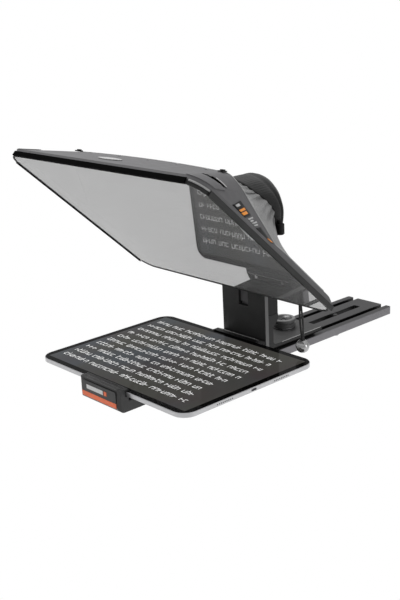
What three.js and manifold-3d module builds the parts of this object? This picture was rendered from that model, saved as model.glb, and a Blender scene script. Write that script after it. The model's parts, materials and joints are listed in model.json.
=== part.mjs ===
// Beam-splitter teleprompter for one camera: a tablet lies face up in a sprung holder, a slanted
// glass in a moulded hood mirrors it to the speaker, and a camera on the rail films through the
// glass from inside a fabric shroud. All sizes are in millimetres.
//
// Frame: the origin is the centre of the tripod plate's underside. +X is the camera's left-hand
// side seen from the speaker, +Y points from the speaker to the camera, +Z is up.

import * as THREE from 'three';
import { mergeVertices } from 'three/addons/utils/BufferGeometryUtils.js';
import Module from 'manifold-3d';

const wasm = await Module();
wasm.setup();

// ---------------------------------------------------------------- driving dimensions

const GAP = 0.3; // left between pieces that touch
const PLAY = 0.4; // clearance round a screw's shank or a pressed button
const ROUND = 40; // segments of a plain round piece
const SMALL_ROUND = 16; // segments of a screw or other small round piece

const TRIPOD_PLATE = { halfWidth: 20, halfLength: 36, height: 7.7, corner: 4 };
const TRIPOD_HOLES = { quarterRadius: 2.7, quarterY: -18, threeEighthsRadius: 4.2, threeEighthsY: 18 };
const PLATE_SCREW = {
  inset: 6, headRadius: 2.6, headTopZ: 2.9, sunkBy: 0.6, radius: 1.5, neck: 0.4, tipBelow: 0.1,
};

const RAIL = { halfWidth: 40.8, frontY: -37, backY: 220, bottomZ: 8, topZ: 18.6, corner: 4, bevel: 0.8 };
// The carriage runs on a part of the rail that is slightly lower than the camera seat behind it.
const CAMERA_SEAT = { frontY: 67, relief: 0.2 };
const GROOVE = { innerX: 22, outerX: 31, floorZ: 10.9, undercut: 1.6, undercutTopZ: 13.4 };
const SLOT = { halfWidth: 6, frontY: -14, backY: 191.5, corner: 1.5 };
const SLOT_RECESS = { halfWidth: 10.2, topZ: 11.4, overrun: 4 };

const POST = { halfWidth: 39.75, frontY: -45.4, thick: 6, bottomZ: 13.2, topZ: 112.2 };
const FOOT = { bottomZ: 24.2, topZ: 28.7, backY: 65, bend: 9 };
// Side flanges that stiffen the bracket's bend, up to just below the hood carrier. Lower down they
// are cut back, which leaves room for the fingers on the knob.
const FLANGE = { thick: 3, backY: -21.3, topZ: 69.9, reliefY: -31, reliefTopZ: 62, reliefLowZ: 53, fillet: 5 };
const WINDOW = { halfWidth: 8.5, bottomZ: 79, topZ: 99 };
const LATCH = { recess: 3.2, floorGap: 4, proud: 3.2, flange: 3.5, flangeThick: 2.4 };
const LEAF = { halfWidth: 20, depth: 8, thick: 1.6, halfHeight: 5, endWidth: 4.5 };
const SHOE = { halfWidth: 33, frontY: -34, backY: 58, topZ: 23.9 };
const KEY = { side: 0.5, frontY: -30, backY: 55, bottomZ: 11.3 };
const GUIDE = { innerX: 27, thick: 9, topInset: 2 };

const KNOB = { y: 31, radius: 16.4, bottomZ: 30.5, topZ: 41.8, boreRadius: 3.4, insertWall: 2, dish: 2.6 };
// The knob's side, as insets from its radius and heights over its bottom, and its dished top, as
// radii and depths below its rim.
const KNOB_SIDE = [
  [0.8, 0], [0, 0.8], [0, 5.2], [1.5, 5.9], [1.5, 6.9], [0.1, 7.6], [0.1, 10.1], [1.3, 11.3],
];
const KNOB_DISH = [[12.2, 0], [11, 1.4], [6.4, KNOB.dish]];
const STUD = { radius: 3, topZ: 38, bracketHole: 3.6, washerHole: 3.4 };
const WASHER = { radius: 14.6, thick: 1.2 };
const NUT = { halfWidth: 9.7, halfLength: 10 };

const TABLET = { halfWidth: 140.3, depth: 214.9, thick: 5.9, corner: 18, frontY: -277, topZ: 40.2 };
const TABLET_EDGE = 0.6;
const SCREEN = { inset: 0.9, thick: 0.8 };
const TABLET_INSIDE = { wall: 5, floor: 0.9 };
const PORT = { halfLength: 3.1, radius: 1.4, depth: 8 };
const SPEAKER = { count: 9, pitch: 2.9, fromPort: 46, radius: 0.75, depth: 3 };

const JAW = {
  halfWidth: 38.8, faceY: -286.6, bow: 0.9, round: 7.5, chamfer: 5.5, armBackY: -255,
  lipTopZ: 43.2, bottomZ: 14.7, armTopZ: 27.9,
};
// The lip over the tablet's front edge: distances behind that edge, and below the lip's top.
const JAW_LIP = [[4.4, 1.4], [3.2, 0.2], [1.4, 0.2], [1.2, 0.7], [-0.6, 0.7], [-0.8, 0]];
const JAW_FACE = {
  backstop: 0.8, toe: 3.5, edge: 1.2, edgeDrop: 0.4, shoulder: 1.4, front: -2, sideFront: 2.2,
};
const JAW_PAD = { inset: 3, from: -0.65, to: 3.2, thick: 0.45 };
const LABEL = { stripeBottomZ: 20.3, stripeTopZ: 26.4, labelTopZ: 40.6, thick: 0.4 };
const SLEEVE = { halfWidth: 38.5, backY: -165, wall: 2.2 };
const BEAM = { halfWidth: 35.6, frontY: -252 };
const BEAM_PLAY = 0.5;
const REAR_JAW = { halfWidth: 39.5, lip: 3.4, lipTopZ: 42, bottomZ: 27.6, shelf: 9, slope: 5, relief: 1 };
const REAR_PAD = { inset: 3, from: -8.5, to: 0.9, thick: 0.4 };
const JAW_SCREW = {
  x: 24, behind: 9, radius: 1.5, holeRadius: 1.8, headRadius: 2.7, sinkRadius: 3.1, sinkZ: 37,
  headBottomZ: 37.3, headTopZ: 39.4, tipAbove: 0.2, neckZ: 38,
};

const GLASS = { slant: 42.2, topY: -273.4, topZ: 296.5, halfWidth: 174, length: 275.5, thick: 3, start: 1.5 };
const SHELL = { halfWidth: 175.5, start: 0, end: 278.5, front: 4.6, straight: 9, corner: 24 };
const SHELL_BACK = {
  start: 62, end: 276, topHalfWidth: 150, lowHalfWidth: 173.5, flareLength: 80, widening: 104,
};
const SHELL_DEPTH = { top: 49, low: 13, end: 11.5, bulge: 8, bulgeLength: 30 };
const SHELL_WALL = 3.8;
const CORNER_SLOT = { innerX: 141, down: 48, from: 23.4, to: 27.6 };
const BADGE = { halfWidth: 20, halfLength: 8.5, thick: 0.9, back: 0.36, x: -12 };
const ROOF_STUD = { radius: 2, from: 0.4, to: 1.1, back: 0.9 };
// A corner clip: a plate with a raised tongue on it.
const CLIP = {
  halfWidth: 4, from: -6, to: 1, lowZ: 0.6, highZ: 1.9, back: 0.97,
  tongue: { halfWidth: 2.4, from: -4, to: 0, lowZ: 1.2, highZ: 3.1 },
};
// The shroud's skin: shares of the way from the shell's front to its back, then of the way to the lens.
const SHROUD = { clearance: 1.2, thick: 2, tucked: 0.9, mouth: 1.03, folds: [0.34, 0.68], overlap: 1 };
// Rubber edging: an L round the glass's edge and behind it, from its outer side to its inner lip.
const EDGING = { outer: 0.2, inner: 1.2, lip: 6, frontDepth: 0.2, backDepth: 4.3 };
const BAR = {
  outer: 1.8, lip: 2.4, lipThick: 0.8, depth: 5.4, chamfer: 0.7,
  topHalfLength: 158, sideStart: 19, sideEnd: 268,
};
const COLLAR = { radius: 46, wall: 2.4, frontY: -39, backY: -14, centreZ: 203.2 };
const CARRIER = { halfWidth: 39.5, wall: 3, backY: -21.3, bottomZ: 70.2, topZ: 118.6 };

const STRING = { radius: 1.25, anchorX: 114, ballX: 116.4, y: -59.5, topZ: 110.4, straight: 8 };
const STRANDS = [{ name: 'left', offset: -1.5, belly: 0.4 }, { name: 'right', offset: 1.5, belly: 2.2 }];
const ANCHOR = { halfWidth: 5, thick: 3.3, fromDepth: 5, toDepth: 11.5 };
const BALL = { radius: 8.6, z: 53.4, mouthRadius: 3.4, mouthFloor: 5.2 };

// ---------------------------------------------------------------- materials

const paint = (color, roughness, metalness) =>
  new THREE.MeshStandardMaterial({ color, roughness, metalness });
const MATERIAL = {
  railAluminium: paint(0x55555a, 0.45, 0.6),
  blackAluminium: paint(0x2c2c2f, 0.5, 0.5),
  blackPlastic: paint(0x1c1c1e, 0.55, 0),
  greyPlastic: paint(0x4a4a4e, 0.6, 0),
  rubber: paint(0x141414, 0.85, 0),
  steel: paint(0xa8a8ac, 0.3, 1),
  blackSteel: paint(0x232326, 0.4, 1),
  orange: paint(0xee6a34, 0.55, 0),
  silver: paint(0xd4d5d8, 0.35, 0.9),
  screen: paint(0x0c0d0f, 0.08, 0),
  glass: new THREE.MeshStandardMaterial({
    color: 0xc8ccd0, roughness: 0.03, transparent: true, opacity: 0.4,
  }),
  fabric: paint(0x3c3c40, 0.9, 0),
  elastic: paint(0x121214, 0.9, 0),
};

// ---------------------------------------------------------------- shape helpers

function box(x0, x1, y0, y1, z0, z1) {
  const geometry = new THREE.BoxGeometry(x1 - x0, y1 - y0, z1 - z0);
  return geometry.translate((x0 + x1) / 2, (y0 + y1) / 2, (z0 + z1) / 2);
}

const ordered = (a, b) => [Math.min(a, b), Math.max(a, b)];

// A box that is mirrored in the YZ plane.
const centredBox = (halfX, y0, y1, z0, z1) => box(-halfX, halfX, y0, y1, z0, z1);

// A cylinder along Z from z0 to z1.
function post(radius, x, y, z0, z1, segments = SMALL_ROUND) {
  const geometry = new THREE.CylinderGeometry(radius, radius, z1 - z0, segments);
  return geometry.rotateX(Math.PI / 2).translate(x, y, (z0 + z1) / 2);
}

// A closed or axis-to-axis profile of [radius, height] pairs, turned about Z.
function turned(profile, segments = ROUND) {
  const points = profile.map(([radius, height]) => new THREE.Vector2(radius, height));
  return new THREE.LatheGeometry(points, segments).rotateX(Math.PI / 2);
}

function roundedRectangle(x0, x1, y0, y1, radius) {
  const shape = new THREE.Shape();
  shape.moveTo(x0 + radius, y0);
  shape.lineTo(x1 - radius, y0);
  shape.absarc(x1 - radius, y0 + radius, radius, -Math.PI / 2, 0);
  shape.lineTo(x1, y1 - radius);
  shape.absarc(x1 - radius, y1 - radius, radius, 0, Math.PI / 2);
  shape.lineTo(x0 + radius, y1);
  shape.absarc(x0 + radius, y1 - radius, radius, Math.PI / 2, Math.PI);
  shape.lineTo(x0, y0 + radius);
  shape.absarc(x0 + radius, y0 + radius, radius, Math.PI, Math.PI * 1.5);
  return shape;
}

// A plan-view shape raised from z0 to z1.
function raised(shape, z0, z1, curveSegments = 6) {
  const geometry = new THREE.ExtrudeGeometry(shape, { depth: z1 - z0, bevelEnabled: false, curveSegments });
  return geometry.translate(0, 0, z0);
}

// A side-view outline of [y, z] pairs, extruded along X from -halfX to halfX.
function sideProfile(points, halfX) {
  const shape = new THREE.Shape(points.map(([y, z]) => new THREE.Vector2(y, z)));
  const geometry = new THREE.ExtrudeGeometry(shape, { depth: 2 * halfX, bevelEnabled: false });
  geometry.applyMatrix4(new THREE.Matrix4().set(0, 0, 1, -halfX, 1, 0, 0, 0, 0, 1, 0, 0, 0, 0, 0, 1));
  return geometry;
}

// A front-view outline of [x, z] pairs, extruded along Y from y0 to y1.
function frontProfile(points, y0, y1) {
  const shape = new THREE.Shape(points.map(([x, z]) => new THREE.Vector2(x, -z)));
  const geometry = new THREE.ExtrudeGeometry(shape, { depth: y1 - y0, bevelEnabled: false });
  return geometry.rotateX(-Math.PI / 2).translate(0, y0, 0);
}

// An arc of [a, b] pairs about a centre, for profiles.
function arc(centreA, centreB, radius, fromDegrees, toDegrees, steps = 5) {
  return Array.from({ length: steps + 1 }, (_, i) => {
    const angle = THREE.MathUtils.degToRad(fromDegrees + ((toDegrees - fromDegrees) * i) / steps);
    return [centreA + radius * Math.cos(angle), centreB + radius * Math.sin(angle)];
  });
}

function signedVolume(position, index) {
  const [a, b, c] = [new THREE.Vector3(), new THREE.Vector3(), new THREE.Vector3()];
  let total = 0;
  for (let i = 0; i < index.length; i += 3) {
    a.fromBufferAttribute(position, index[i]);
    b.fromBufferAttribute(position, index[i + 1]);
    c.fromBufferAttribute(position, index[i + 2]);
    total += a.dot(b.cross(c));
  }
  return total;
}

// A closed skin through rings of equal point count; the last ring joins the first again.
function ringSkin(rings) {
  const count = rings[0].length;
  const index = [];
  rings.forEach((_, i) => {
    const here = i * count;
    const next = ((i + 1) % rings.length) * count;
    for (let j = 0; j < count; j++) {
      const k = (j + 1) % count;
      index.push(here + j, here + k, next + k, here + j, next + k, next + j);
    }
  });
  const geometry = new THREE.BufferGeometry();
  const numbers = rings.flat().flatMap((point) => point.toArray());
  geometry.setAttribute('position', new THREE.Float32BufferAttribute(numbers, 3));
  if (signedVolume(geometry.attributes.position, index) < 0) index.reverse();
  geometry.setIndex(index);
  return geometry;
}

function toManifold(geometry) {
  const bare = geometry.clone();
  bare.deleteAttribute('normal');
  bare.deleteAttribute('uv');
  const merged = mergeVertices(bare, 1e-4);
  return new wasm.Manifold(new wasm.Mesh({
    numProp: 3,
    vertProperties: new Float32Array(merged.attributes.position.array),
    triVerts: new Uint32Array(merged.index.array),
  }));
}

function fromManifold(solid) {
  const mesh = solid.getMesh();
  const geometry = new THREE.BufferGeometry();
  geometry.setAttribute('position', new THREE.Float32BufferAttribute(mesh.vertProperties, 3));
  geometry.setIndex([...mesh.triVerts]);
  return geometry;
}

const combine = (first, others, join) =>
  fromManifold(others.reduce((solid, other) => join(solid, toManifold(other)), toManifold(first)));
const cut = (body, ...tools) => combine(body, tools, (a, b) => a.subtract(b));
const join = (body, ...others) => combine(body, others, (a, b) => a.add(b));
const overlap = (body, ...others) => combine(body, others, (a, b) => a.intersect(b));

const prompter = new THREE.Group();

function add(name, geometry, material, parent = prompter) {
  const mesh = new THREE.Mesh(geometry, material);
  mesh.name = name;
  parent.add(mesh);
  return mesh;
}

// ---------------------------------------------------------------- tripod plate and camera rail

function addTripodPlate() {
  const { halfWidth, halfLength, height, corner } = TRIPOD_PLATE;
  const outline = roundedRectangle(-halfWidth, halfWidth, -halfLength, halfLength, corner);
  const { quarterRadius, quarterY, threeEighthsRadius, threeEighthsY } = TRIPOD_HOLES;
  const { inset, headRadius, headTopZ, sunkBy, radius: screwRadius, neck, tipBelow } = PLATE_SCREW;
  const places = [-1, 1].flatMap((sideY) =>
    [-1, 1].map((sideX) => [sideX * (halfWidth - inset), sideY * (halfLength - inset)]));
  const plate = cut(
    raised(outline, 0, height),
    post(quarterRadius, 0, quarterY, -1, height + 1),
    post(threeEighthsRadius, 0, threeEighthsY, -1, height + 1),
    ...places.map(([x, y]) => post(headRadius + GAP, x, y, -1, headTopZ + GAP)),
    ...places.map(([x, y]) => post(screwRadius + GAP, x, y, -1, height + 1)),
  );
  add('tripod_plate', plate, MATERIAL.blackAluminium);

  places.forEach(([x, y], i) => {
    const screw = join(
      post(headRadius, x, y, sunkBy, headTopZ), post(screwRadius, x, y, headTopZ - neck, height - tipBelow));
    add(`plate_screw_${i + 1}`, screw, MATERIAL.steel);
  });
}

function addRail() {
  const { halfWidth, frontY, backY, bottomZ, topZ, corner, bevel } = RAIL;
  const { innerX, outerX, floorZ, undercut, undercutTopZ } = GROOVE;
  const rightHalf = [
    [innerX, topZ],
    [innerX, undercutTopZ],
    [innerX - undercut, undercutTopZ],
    [innerX - undercut, floorZ],
    [outerX + undercut, floorZ],
    [outerX + undercut, undercutTopZ],
    [outerX, undercutTopZ],
    [outerX, topZ],
    [halfWidth - bevel, topZ],
    [halfWidth, topZ - bevel],
    [halfWidth, bottomZ],
  ];
  const leftHalf = rightHalf.map(([x, z]) => [-x, z]).reverse();
  const bar = frontProfile([...leftHalf, ...rightHalf], frontY, backY);
  const planShape = roundedRectangle(-halfWidth, halfWidth, frontY, backY, corner);
  const plan = raised(planShape, bottomZ - 1, topZ + 1, 5);
  const slotPlan = roundedRectangle(-SLOT.halfWidth, SLOT.halfWidth, SLOT.frontY, SLOT.backY, SLOT.corner);
  const slot = raised(slotPlan, 0, topZ + 1, 3);
  const recess = centredBox(
    SLOT_RECESS.halfWidth, SLOT.frontY - SLOT_RECESS.overrun, SLOT.backY + SLOT_RECESS.overrun,
    0, SLOT_RECESS.topZ);
  const relief = centredBox(
    halfWidth + 1, frontY - 1, CAMERA_SEAT.frontY, topZ - CAMERA_SEAT.relief, topZ + 1);
  add('camera_rail', cut(overlap(bar, plan), slot, recess, relief), MATERIAL.railAluminium);
}

// ---------------------------------------------------------------- captive camera screw

// The screw hangs by its own slack, with its tip just below the seat; it rises 5 mm into a camera.
const CAMERA_SCREW = {
  y: 141, radius: 3.1, headRadius: 9.4, headTopZ: 2.4, headBottomZ: -1.7, headEdge: 0.6, tipZ: 18.3,
  tipEdge: 0.8, halfWasher: 10,
};
const EAR = { x: 5, halfThick: 1, halfLength: 2, bottomZ: -3.9, rootZ: -1.3, holeZ: -2.8, holeRadius: 0.95 };
// The folding ring's wire, on one side: distances out from the middle, and down from its pivot.
const RING = { wireRadius: 0.7, pivotX: 6.2, shoulderX: 7.4, shoulder: 2, elbowX: 7, elbow: 7.2, drop: 12 };

function addCameraScrew() {
  const { y, radius, headRadius, headTopZ, headBottomZ, tipZ, headEdge, tipEdge, halfWasher } = CAMERA_SCREW;
  const washer = cut(
    centredBox(
      SLOT_RECESS.halfWidth - PLAY, y - halfWasher, y + halfWasher, RAIL.bottomZ, SLOT_RECESS.topZ - GAP),
    post(radius + PLAY, 0, y, 0, RAIL.topZ));
  add('screw_washer', washer, MATERIAL.steel);

  const screw = turned([
    [0, headBottomZ], [headRadius - headEdge, headBottomZ], [headRadius, headBottomZ + headEdge],
    [headRadius, headTopZ], [radius, headTopZ], [radius, tipZ - tipEdge], [radius - tipEdge, tipZ],
    [0, tipZ]], 28);
  screw.translate(0, y, 0);
  const ears = [-1, 1].map((side) => box(side * EAR.x - EAR.halfThick, side * EAR.x + EAR.halfThick,
    y - EAR.halfLength, y + EAR.halfLength, EAR.bottomZ, EAR.rootZ));
  const eye = sideHole(0, y, EAR.holeZ, EAR.holeRadius, 2 * (EAR.x + EAR.halfThick) + 1);
  add('camera_screw', cut(join(screw, ...ears), eye), MATERIAL.blackSteel);

  const point = (x, down) => new THREE.Vector3(x, y, EAR.holeZ - down);
  const { wireRadius, pivotX, shoulderX, shoulder, elbowX, elbow, drop } = RING;
  const wire = new THREE.CatmullRomCurve3([
    point(-pivotX, 0), point(-shoulderX, shoulder), point(-elbowX, elbow), point(0, drop),
    point(elbowX, elbow), point(shoulderX, shoulder), point(pivotX, 0)]);
  add('screw_ring', wireAlong(wire, wireRadius, 24), MATERIAL.steel);
}

// A cylinder along X.
function sideHole(x, y, z, radius, length) {
  const geometry = new THREE.CylinderGeometry(radius, radius, length, 12);
  return geometry.rotateZ(Math.PI / 2).translate(x, y, z);
}

function wireAlong(curve, radius, steps, sides = 8) {
  const section = new THREE.Shape();
  section.absarc(0, 0, radius, 0, Math.PI * 2);
  return new THREE.ExtrudeGeometry(section, {
    extrudePath: curve, steps, bevelEnabled: false, curveSegments: sides / 2,
  });
}

// ---------------------------------------------------------------- carriage: foot, post and guides

function addFoot() {
  const back = POST.frontY + POST.thick;
  const bend = arc(back + FOOT.bend, FOOT.topZ + FOOT.bend, FOOT.bend, 270, 180, 5);
  const outline = [
    [POST.frontY, POST.bottomZ],
    [back, POST.bottomZ],
    [back, FOOT.bottomZ],
    [FOOT.backY, FOOT.bottomZ],
    [FOOT.backY, FOOT.topZ],
    ...bend,
    [back, POST.topZ],
    [POST.frontY, POST.topZ],
  ];
  const { thick, backY, topZ, reliefY, reliefTopZ, reliefLowZ, fillet } = FLANGE;
  const flangeOutline = [
    [back - 1, FOOT.topZ - 1], [back - 1, topZ], [backY, topZ], [backY, reliefTopZ], [reliefY, reliefLowZ],
    ...arc(reliefY + fillet, FOOT.topZ + fillet, fillet, 180, 270),
    [reliefY + fillet, FOOT.topZ - 1],
  ];
  const flanges = cut(
    sideProfile(flangeOutline, POST.halfWidth),
    centredBox(POST.halfWidth - thick, back - 2, backY + 1, FOOT.topZ - 2, topZ + 1));
  const bracket = cut(
    join(sideProfile(outline, POST.halfWidth), flanges),
    centredBox(WINDOW.halfWidth, POST.frontY - 1, back + 1, WINDOW.bottomZ, WINDOW.topZ),
    post(STUD.bracketHole, 0, KNOB.y, FOOT.bottomZ - 1, FOOT.topZ + 1));
  add('foot_bracket', bracket, MATERIAL.blackAluminium);

  const shoe = cut(
    centredBox(SHOE.halfWidth, SHOE.frontY, SHOE.backY, RAIL.topZ + GAP, SHOE.topZ),
    post(STUD.bracketHole, 0, KNOB.y, RAIL.topZ - 1, SHOE.topZ + 1));
  add('carriage_shoe', shoe, MATERIAL.blackPlastic);

  for (const [name, side] of [['left', -1], ['right', 1]]) {
    const keyX = ordered(side * (GROOVE.innerX + KEY.side), side * (GROOVE.outerX - KEY.side));
    const key = box(...keyX, KEY.frontY, KEY.backY, KEY.bottomZ, RAIL.topZ);
    add(`guide_key_${name}`, key, MATERIAL.steel);
    const guideX = ordered(side * GUIDE.innerX, side * (CARRIER.halfWidth - CARRIER.wall - GAP));
    const guide = box(
      ...guideX, back + GAP, back + GUIDE.thick, FOOT.topZ + FOOT.bend + 1, POST.topZ - GUIDE.topInset);
    add(`post_guide_${name}`, guide, MATERIAL.blackPlastic);
  }
}

function addClamp() {
  const nutTop = SLOT_RECESS.topZ - GAP;
  const nut = centredBox(
    NUT.halfWidth, KNOB.y - NUT.halfLength, KNOB.y + NUT.halfLength, RAIL.bottomZ + GAP, nutTop);
  add('clamp_nut', nut, MATERIAL.steel);
  add('clamp_stud', post(STUD.radius, 0, KNOB.y, nutTop + GAP, STUD.topZ), MATERIAL.steel);
  const hole = STUD.washerHole;
  const washer = turned([
    [hole, 0], [WASHER.radius, 0], [WASHER.radius, WASHER.thick], [hole, WASHER.thick], [hole, 0]]);
  add('knob_washer', washer.translate(0, KNOB.y, FOOT.topZ + GAP), MATERIAL.steel);

  const { radius, bottomZ, topZ, boreRadius, insertWall, dish } = KNOB;
  const insertRadius = boreRadius + insertWall;
  const knob = turned([
    [insertRadius + GAP, bottomZ],
    ...KNOB_SIDE.map(([inset, up]) => [radius - inset, bottomZ + up]),
    ...KNOB_DISH.map(([out, down]) => [out, topZ - down]),
    [insertRadius + GAP, topZ - dish], [insertRadius + GAP, bottomZ]]);
  add('lock_knob', knob.translate(0, KNOB.y, 0), MATERIAL.blackPlastic);
  const insert = turned([
    [boreRadius, bottomZ], [insertRadius, bottomZ], [insertRadius, topZ - dish], [boreRadius, topZ - dish],
    [boreRadius, bottomZ]], 24);
  add('knob_insert', insert.translate(0, KNOB.y, 0), MATERIAL.blackAluminium);
}

function addLatch() {
  const back = POST.frontY + POST.thick;
  const side = WINDOW.halfWidth - PLAY;
  const { recess, floorGap, proud, flange, flangeThick } = LATCH;
  const button = join(
    centredBox(side, POST.frontY + recess, back + proud, WINDOW.bottomZ + floorGap, WINDOW.topZ - PLAY),
    centredBox(side + flange, back + GAP, back + flangeThick, WINDOW.bottomZ - flange, WINDOW.topZ + flange));
  add('latch_button', button, MATERIAL.greyPlastic);

  const middle = (WINDOW.bottomZ + WINDOW.topZ) / 2;
  const { halfWidth, depth, thick, halfHeight, endWidth } = LEAF;
  const leaf = cut(
    centredBox(halfWidth, back + GAP, back + depth, middle - halfHeight, middle + halfHeight),
    centredBox(halfWidth - endWidth, back - 1, back + depth - thick, middle - halfHeight - 1,
      middle + halfHeight + 1));
  add('latch_leaf', leaf, MATERIAL.steel);
}

// ---------------------------------------------------------------- tablet holder

function addHolder() {
  const beamBottom = JAW.bottomZ + SLEEVE.wall + BEAM_PLAY;
  const beamTop = JAW.armTopZ - SLEEVE.wall - BEAM_PLAY;
  const beam = centredBox(BEAM.halfWidth, BEAM.frontY, POST.frontY - GAP, beamBottom, beamTop);
  add('holder_beam', beam, MATERIAL.blackAluminium);

  const tabletBack = TABLET.frontY + TABLET.depth;
  const tabletBottom = TABLET.topZ - TABLET.thick;
  const { halfWidth, lip, lipTopZ, bottomZ, shelf, slope, relief } = REAR_JAW;
  const stop = tabletBack + GAP + relief;
  const profile = [
    [tabletBack - shelf, bottomZ],
    [POST.frontY - GAP, bottomZ],
    [POST.frontY - GAP, lipTopZ - slope],
    [tabletBack + slope, lipTopZ],
    [tabletBack - lip, lipTopZ],
    [tabletBack - lip, TABLET.topZ + GAP],
    [stop, TABLET.topZ + GAP],
    [stop, tabletBottom - relief],
    [tabletBack - shelf, tabletBottom - relief],
  ];
  const screwPlaces = [-JAW_SCREW.x, JAW_SCREW.x].map((x) => [x, tabletBack + JAW_SCREW.behind]);
  const holes = screwPlaces.flatMap(([x, y]) => [
    post(JAW_SCREW.holeRadius, x, y, bottomZ - 1, lipTopZ + 1),
    post(JAW_SCREW.sinkRadius, x, y, JAW_SCREW.sinkZ, lipTopZ + 1)]);
  add('rear_jaw', cut(sideProfile(profile, halfWidth), ...holes), MATERIAL.blackPlastic);
  screwPlaces.forEach(([x, y], i) => {
    const screw = join(
      post(JAW_SCREW.headRadius, x, y, JAW_SCREW.headBottomZ, JAW_SCREW.headTopZ),
      post(JAW_SCREW.radius, x, y, bottomZ + JAW_SCREW.tipAbove, JAW_SCREW.neckZ));
    add(`rear_jaw_screw_${i + 1}`, screw, MATERIAL.steel);
  });
  add('rear_jaw_pad', centredBox(
    halfWidth - REAR_PAD.inset, tabletBack + REAR_PAD.from, tabletBack + REAR_PAD.to,
    tabletBottom - GAP - REAR_PAD.thick, tabletBottom - GAP), MATERIAL.rubber);
}

function addFrontJaw() {
  const tabletBottom = TABLET.topZ - TABLET.thick;
  const { faceY, armBackY, lipTopZ, bottomZ, armTopZ } = JAW;
  const { backstop, toe, edge, edgeDrop, shoulder, front, sideFront } = JAW_FACE;
  const innerY = TABLET.frontY - backstop;
  const toeY = TABLET.frontY + toe;
  const profile = [
    ...arc(faceY - JAW.bow + JAW.round, bottomZ + JAW.round, JAW.round, 180, 270, 6),
    [armBackY, bottomZ],
    [armBackY, armTopZ],
    [toeY, armTopZ],
    [toeY, tabletBottom - 1],
    [innerY, tabletBottom - 1],
    [innerY, TABLET.topZ + GAP],
    [TABLET.frontY + JAW_LIP[0][0], TABLET.topZ + GAP],
    ...JAW_LIP.map(([behind, down]) => [TABLET.frontY + behind, lipTopZ - down]),
    [faceY + edge, lipTopZ - edgeDrop],
    [faceY, lipTopZ - shoulder],
  ];
  const { chamfer } = JAW;
  const half = JAW.halfWidth;
  const plan = new THREE.Shape([
    [-half, armBackY + 1], [-half, faceY + sideFront], [-half + chamfer, faceY + front],
    [half - chamfer, faceY + front], [half, faceY + sideFront], [half, armBackY + 1],
  ].map(([x, y]) => new THREE.Vector2(x, y)));
  add('front_jaw', overlap(sideProfile(profile, JAW.halfWidth), raised(plan, bottomZ - 1, lipTopZ + 1)),
    MATERIAL.blackPlastic);

  const labelHalf = JAW.halfWidth - chamfer;
  const { stripeBottomZ, stripeTopZ, labelTopZ, thick } = LABEL;
  const face = [faceY - JAW.bow - GAP - thick, faceY - JAW.bow - GAP];
  add('jaw_label', centredBox(labelHalf, ...face, stripeTopZ + GAP, labelTopZ), MATERIAL.blackPlastic);
  add('jaw_stripe', centredBox(labelHalf, ...face, stripeBottomZ, stripeTopZ), MATERIAL.orange);
  add('front_jaw_pad', centredBox(
    JAW.halfWidth - JAW_PAD.inset, TABLET.frontY + JAW_PAD.from, TABLET.frontY + JAW_PAD.to,
    tabletBottom - GAP - JAW_PAD.thick, tabletBottom - GAP), MATERIAL.rubber);

  const { halfWidth, backY, wall } = SLEEVE;
  const sleeve = cut(
    centredBox(halfWidth, armBackY + GAP, backY, bottomZ, armTopZ),
    centredBox(halfWidth - wall, armBackY - 1, backY + 1, bottomZ + wall, armTopZ - wall));
  add('arm_sleeve', sleeve, MATERIAL.blackAluminium);
}

// ---------------------------------------------------------------- tablet

function addTablet() {
  const { halfWidth, depth, thick, corner, frontY, topZ } = TABLET;
  const { inset } = SCREEN;
  const backY = frontY + depth;
  const recessZ = topZ - SCREEN.thick - GAP;
  const edge = TABLET_EDGE;
  const shell = new THREE.ExtrudeGeometry(
    roundedRectangle(-halfWidth + edge, halfWidth - edge, frontY + edge, backY - edge, corner - edge),
    { depth: thick - 2 * edge, bevelThickness: edge, bevelSize: edge, bevelSegments: 1, curveSegments: 8 });
  shell.translate(0, 0, topZ - thick + edge);
  const seat = inset - GAP;
  const recess = raised(
    roundedRectangle(-halfWidth + seat, halfWidth - seat, frontY + seat, backY - seat, corner - seat),
    recessZ, topZ + 1, 8);
  const inside = (gap) => roundedRectangle(
    -halfWidth + TABLET_INSIDE.wall + gap, halfWidth - TABLET_INSIDE.wall - gap,
    frontY + TABLET_INSIDE.wall + gap, backY - TABLET_INSIDE.wall - gap, corner - TABLET_INSIDE.wall - gap);
  const floorZ = topZ - thick + TABLET_INSIDE.floor;
  const cavity = raised(inside(0), floorZ, recessZ + 1, 6);

  const middleZ = topZ - thick / 2;
  const middleY = (frontY + backY) / 2;
  const speakerHoles = [-1, 1].flatMap((group) => Array.from({ length: SPEAKER.count }, (_, i) => {
    const along = SPEAKER.fromPort * group + (i - (SPEAKER.count - 1) / 2) * SPEAKER.pitch;
    return sideHole(halfWidth, middleY + along, middleZ, SPEAKER.radius, SPEAKER.depth);
  }));
  const port = [-1, 1].map((end) =>
    sideHole(halfWidth, middleY + end * PORT.halfLength, middleZ, PORT.radius, PORT.depth));
  port.push(box(halfWidth - PORT.depth / 2, halfWidth + PORT.depth / 2, middleY - PORT.halfLength,
    middleY + PORT.halfLength, middleZ - PORT.radius, middleZ + PORT.radius));
  add('tablet_case', cut(shell, recess, cavity, ...speakerHoles, ...port), MATERIAL.silver);
  add('tablet_battery', raised(inside(GAP), floorZ + GAP, recessZ - GAP, 6), MATERIAL.blackPlastic);

  const screen = raised(
    roundedRectangle(-halfWidth + inset, halfWidth - inset, frontY + inset, backY - inset, corner - inset),
    topZ - SCREEN.thick, topZ, 8);
  add('tablet_screen', screen, MATERIAL.screen);
}

// ---------------------------------------------------------------- hood

// The hood is drawn in the glass's own frame: X stays X, Y runs down the slant from the glass's
// top edge, and Z is the depth behind the glass, towards the camera.
const hood = new THREE.Group();
hood.position.set(0, GLASS.topY, GLASS.topZ);
hood.rotation.x = THREE.MathUtils.degToRad(-GLASS.slant);
prompter.add(hood);

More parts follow.
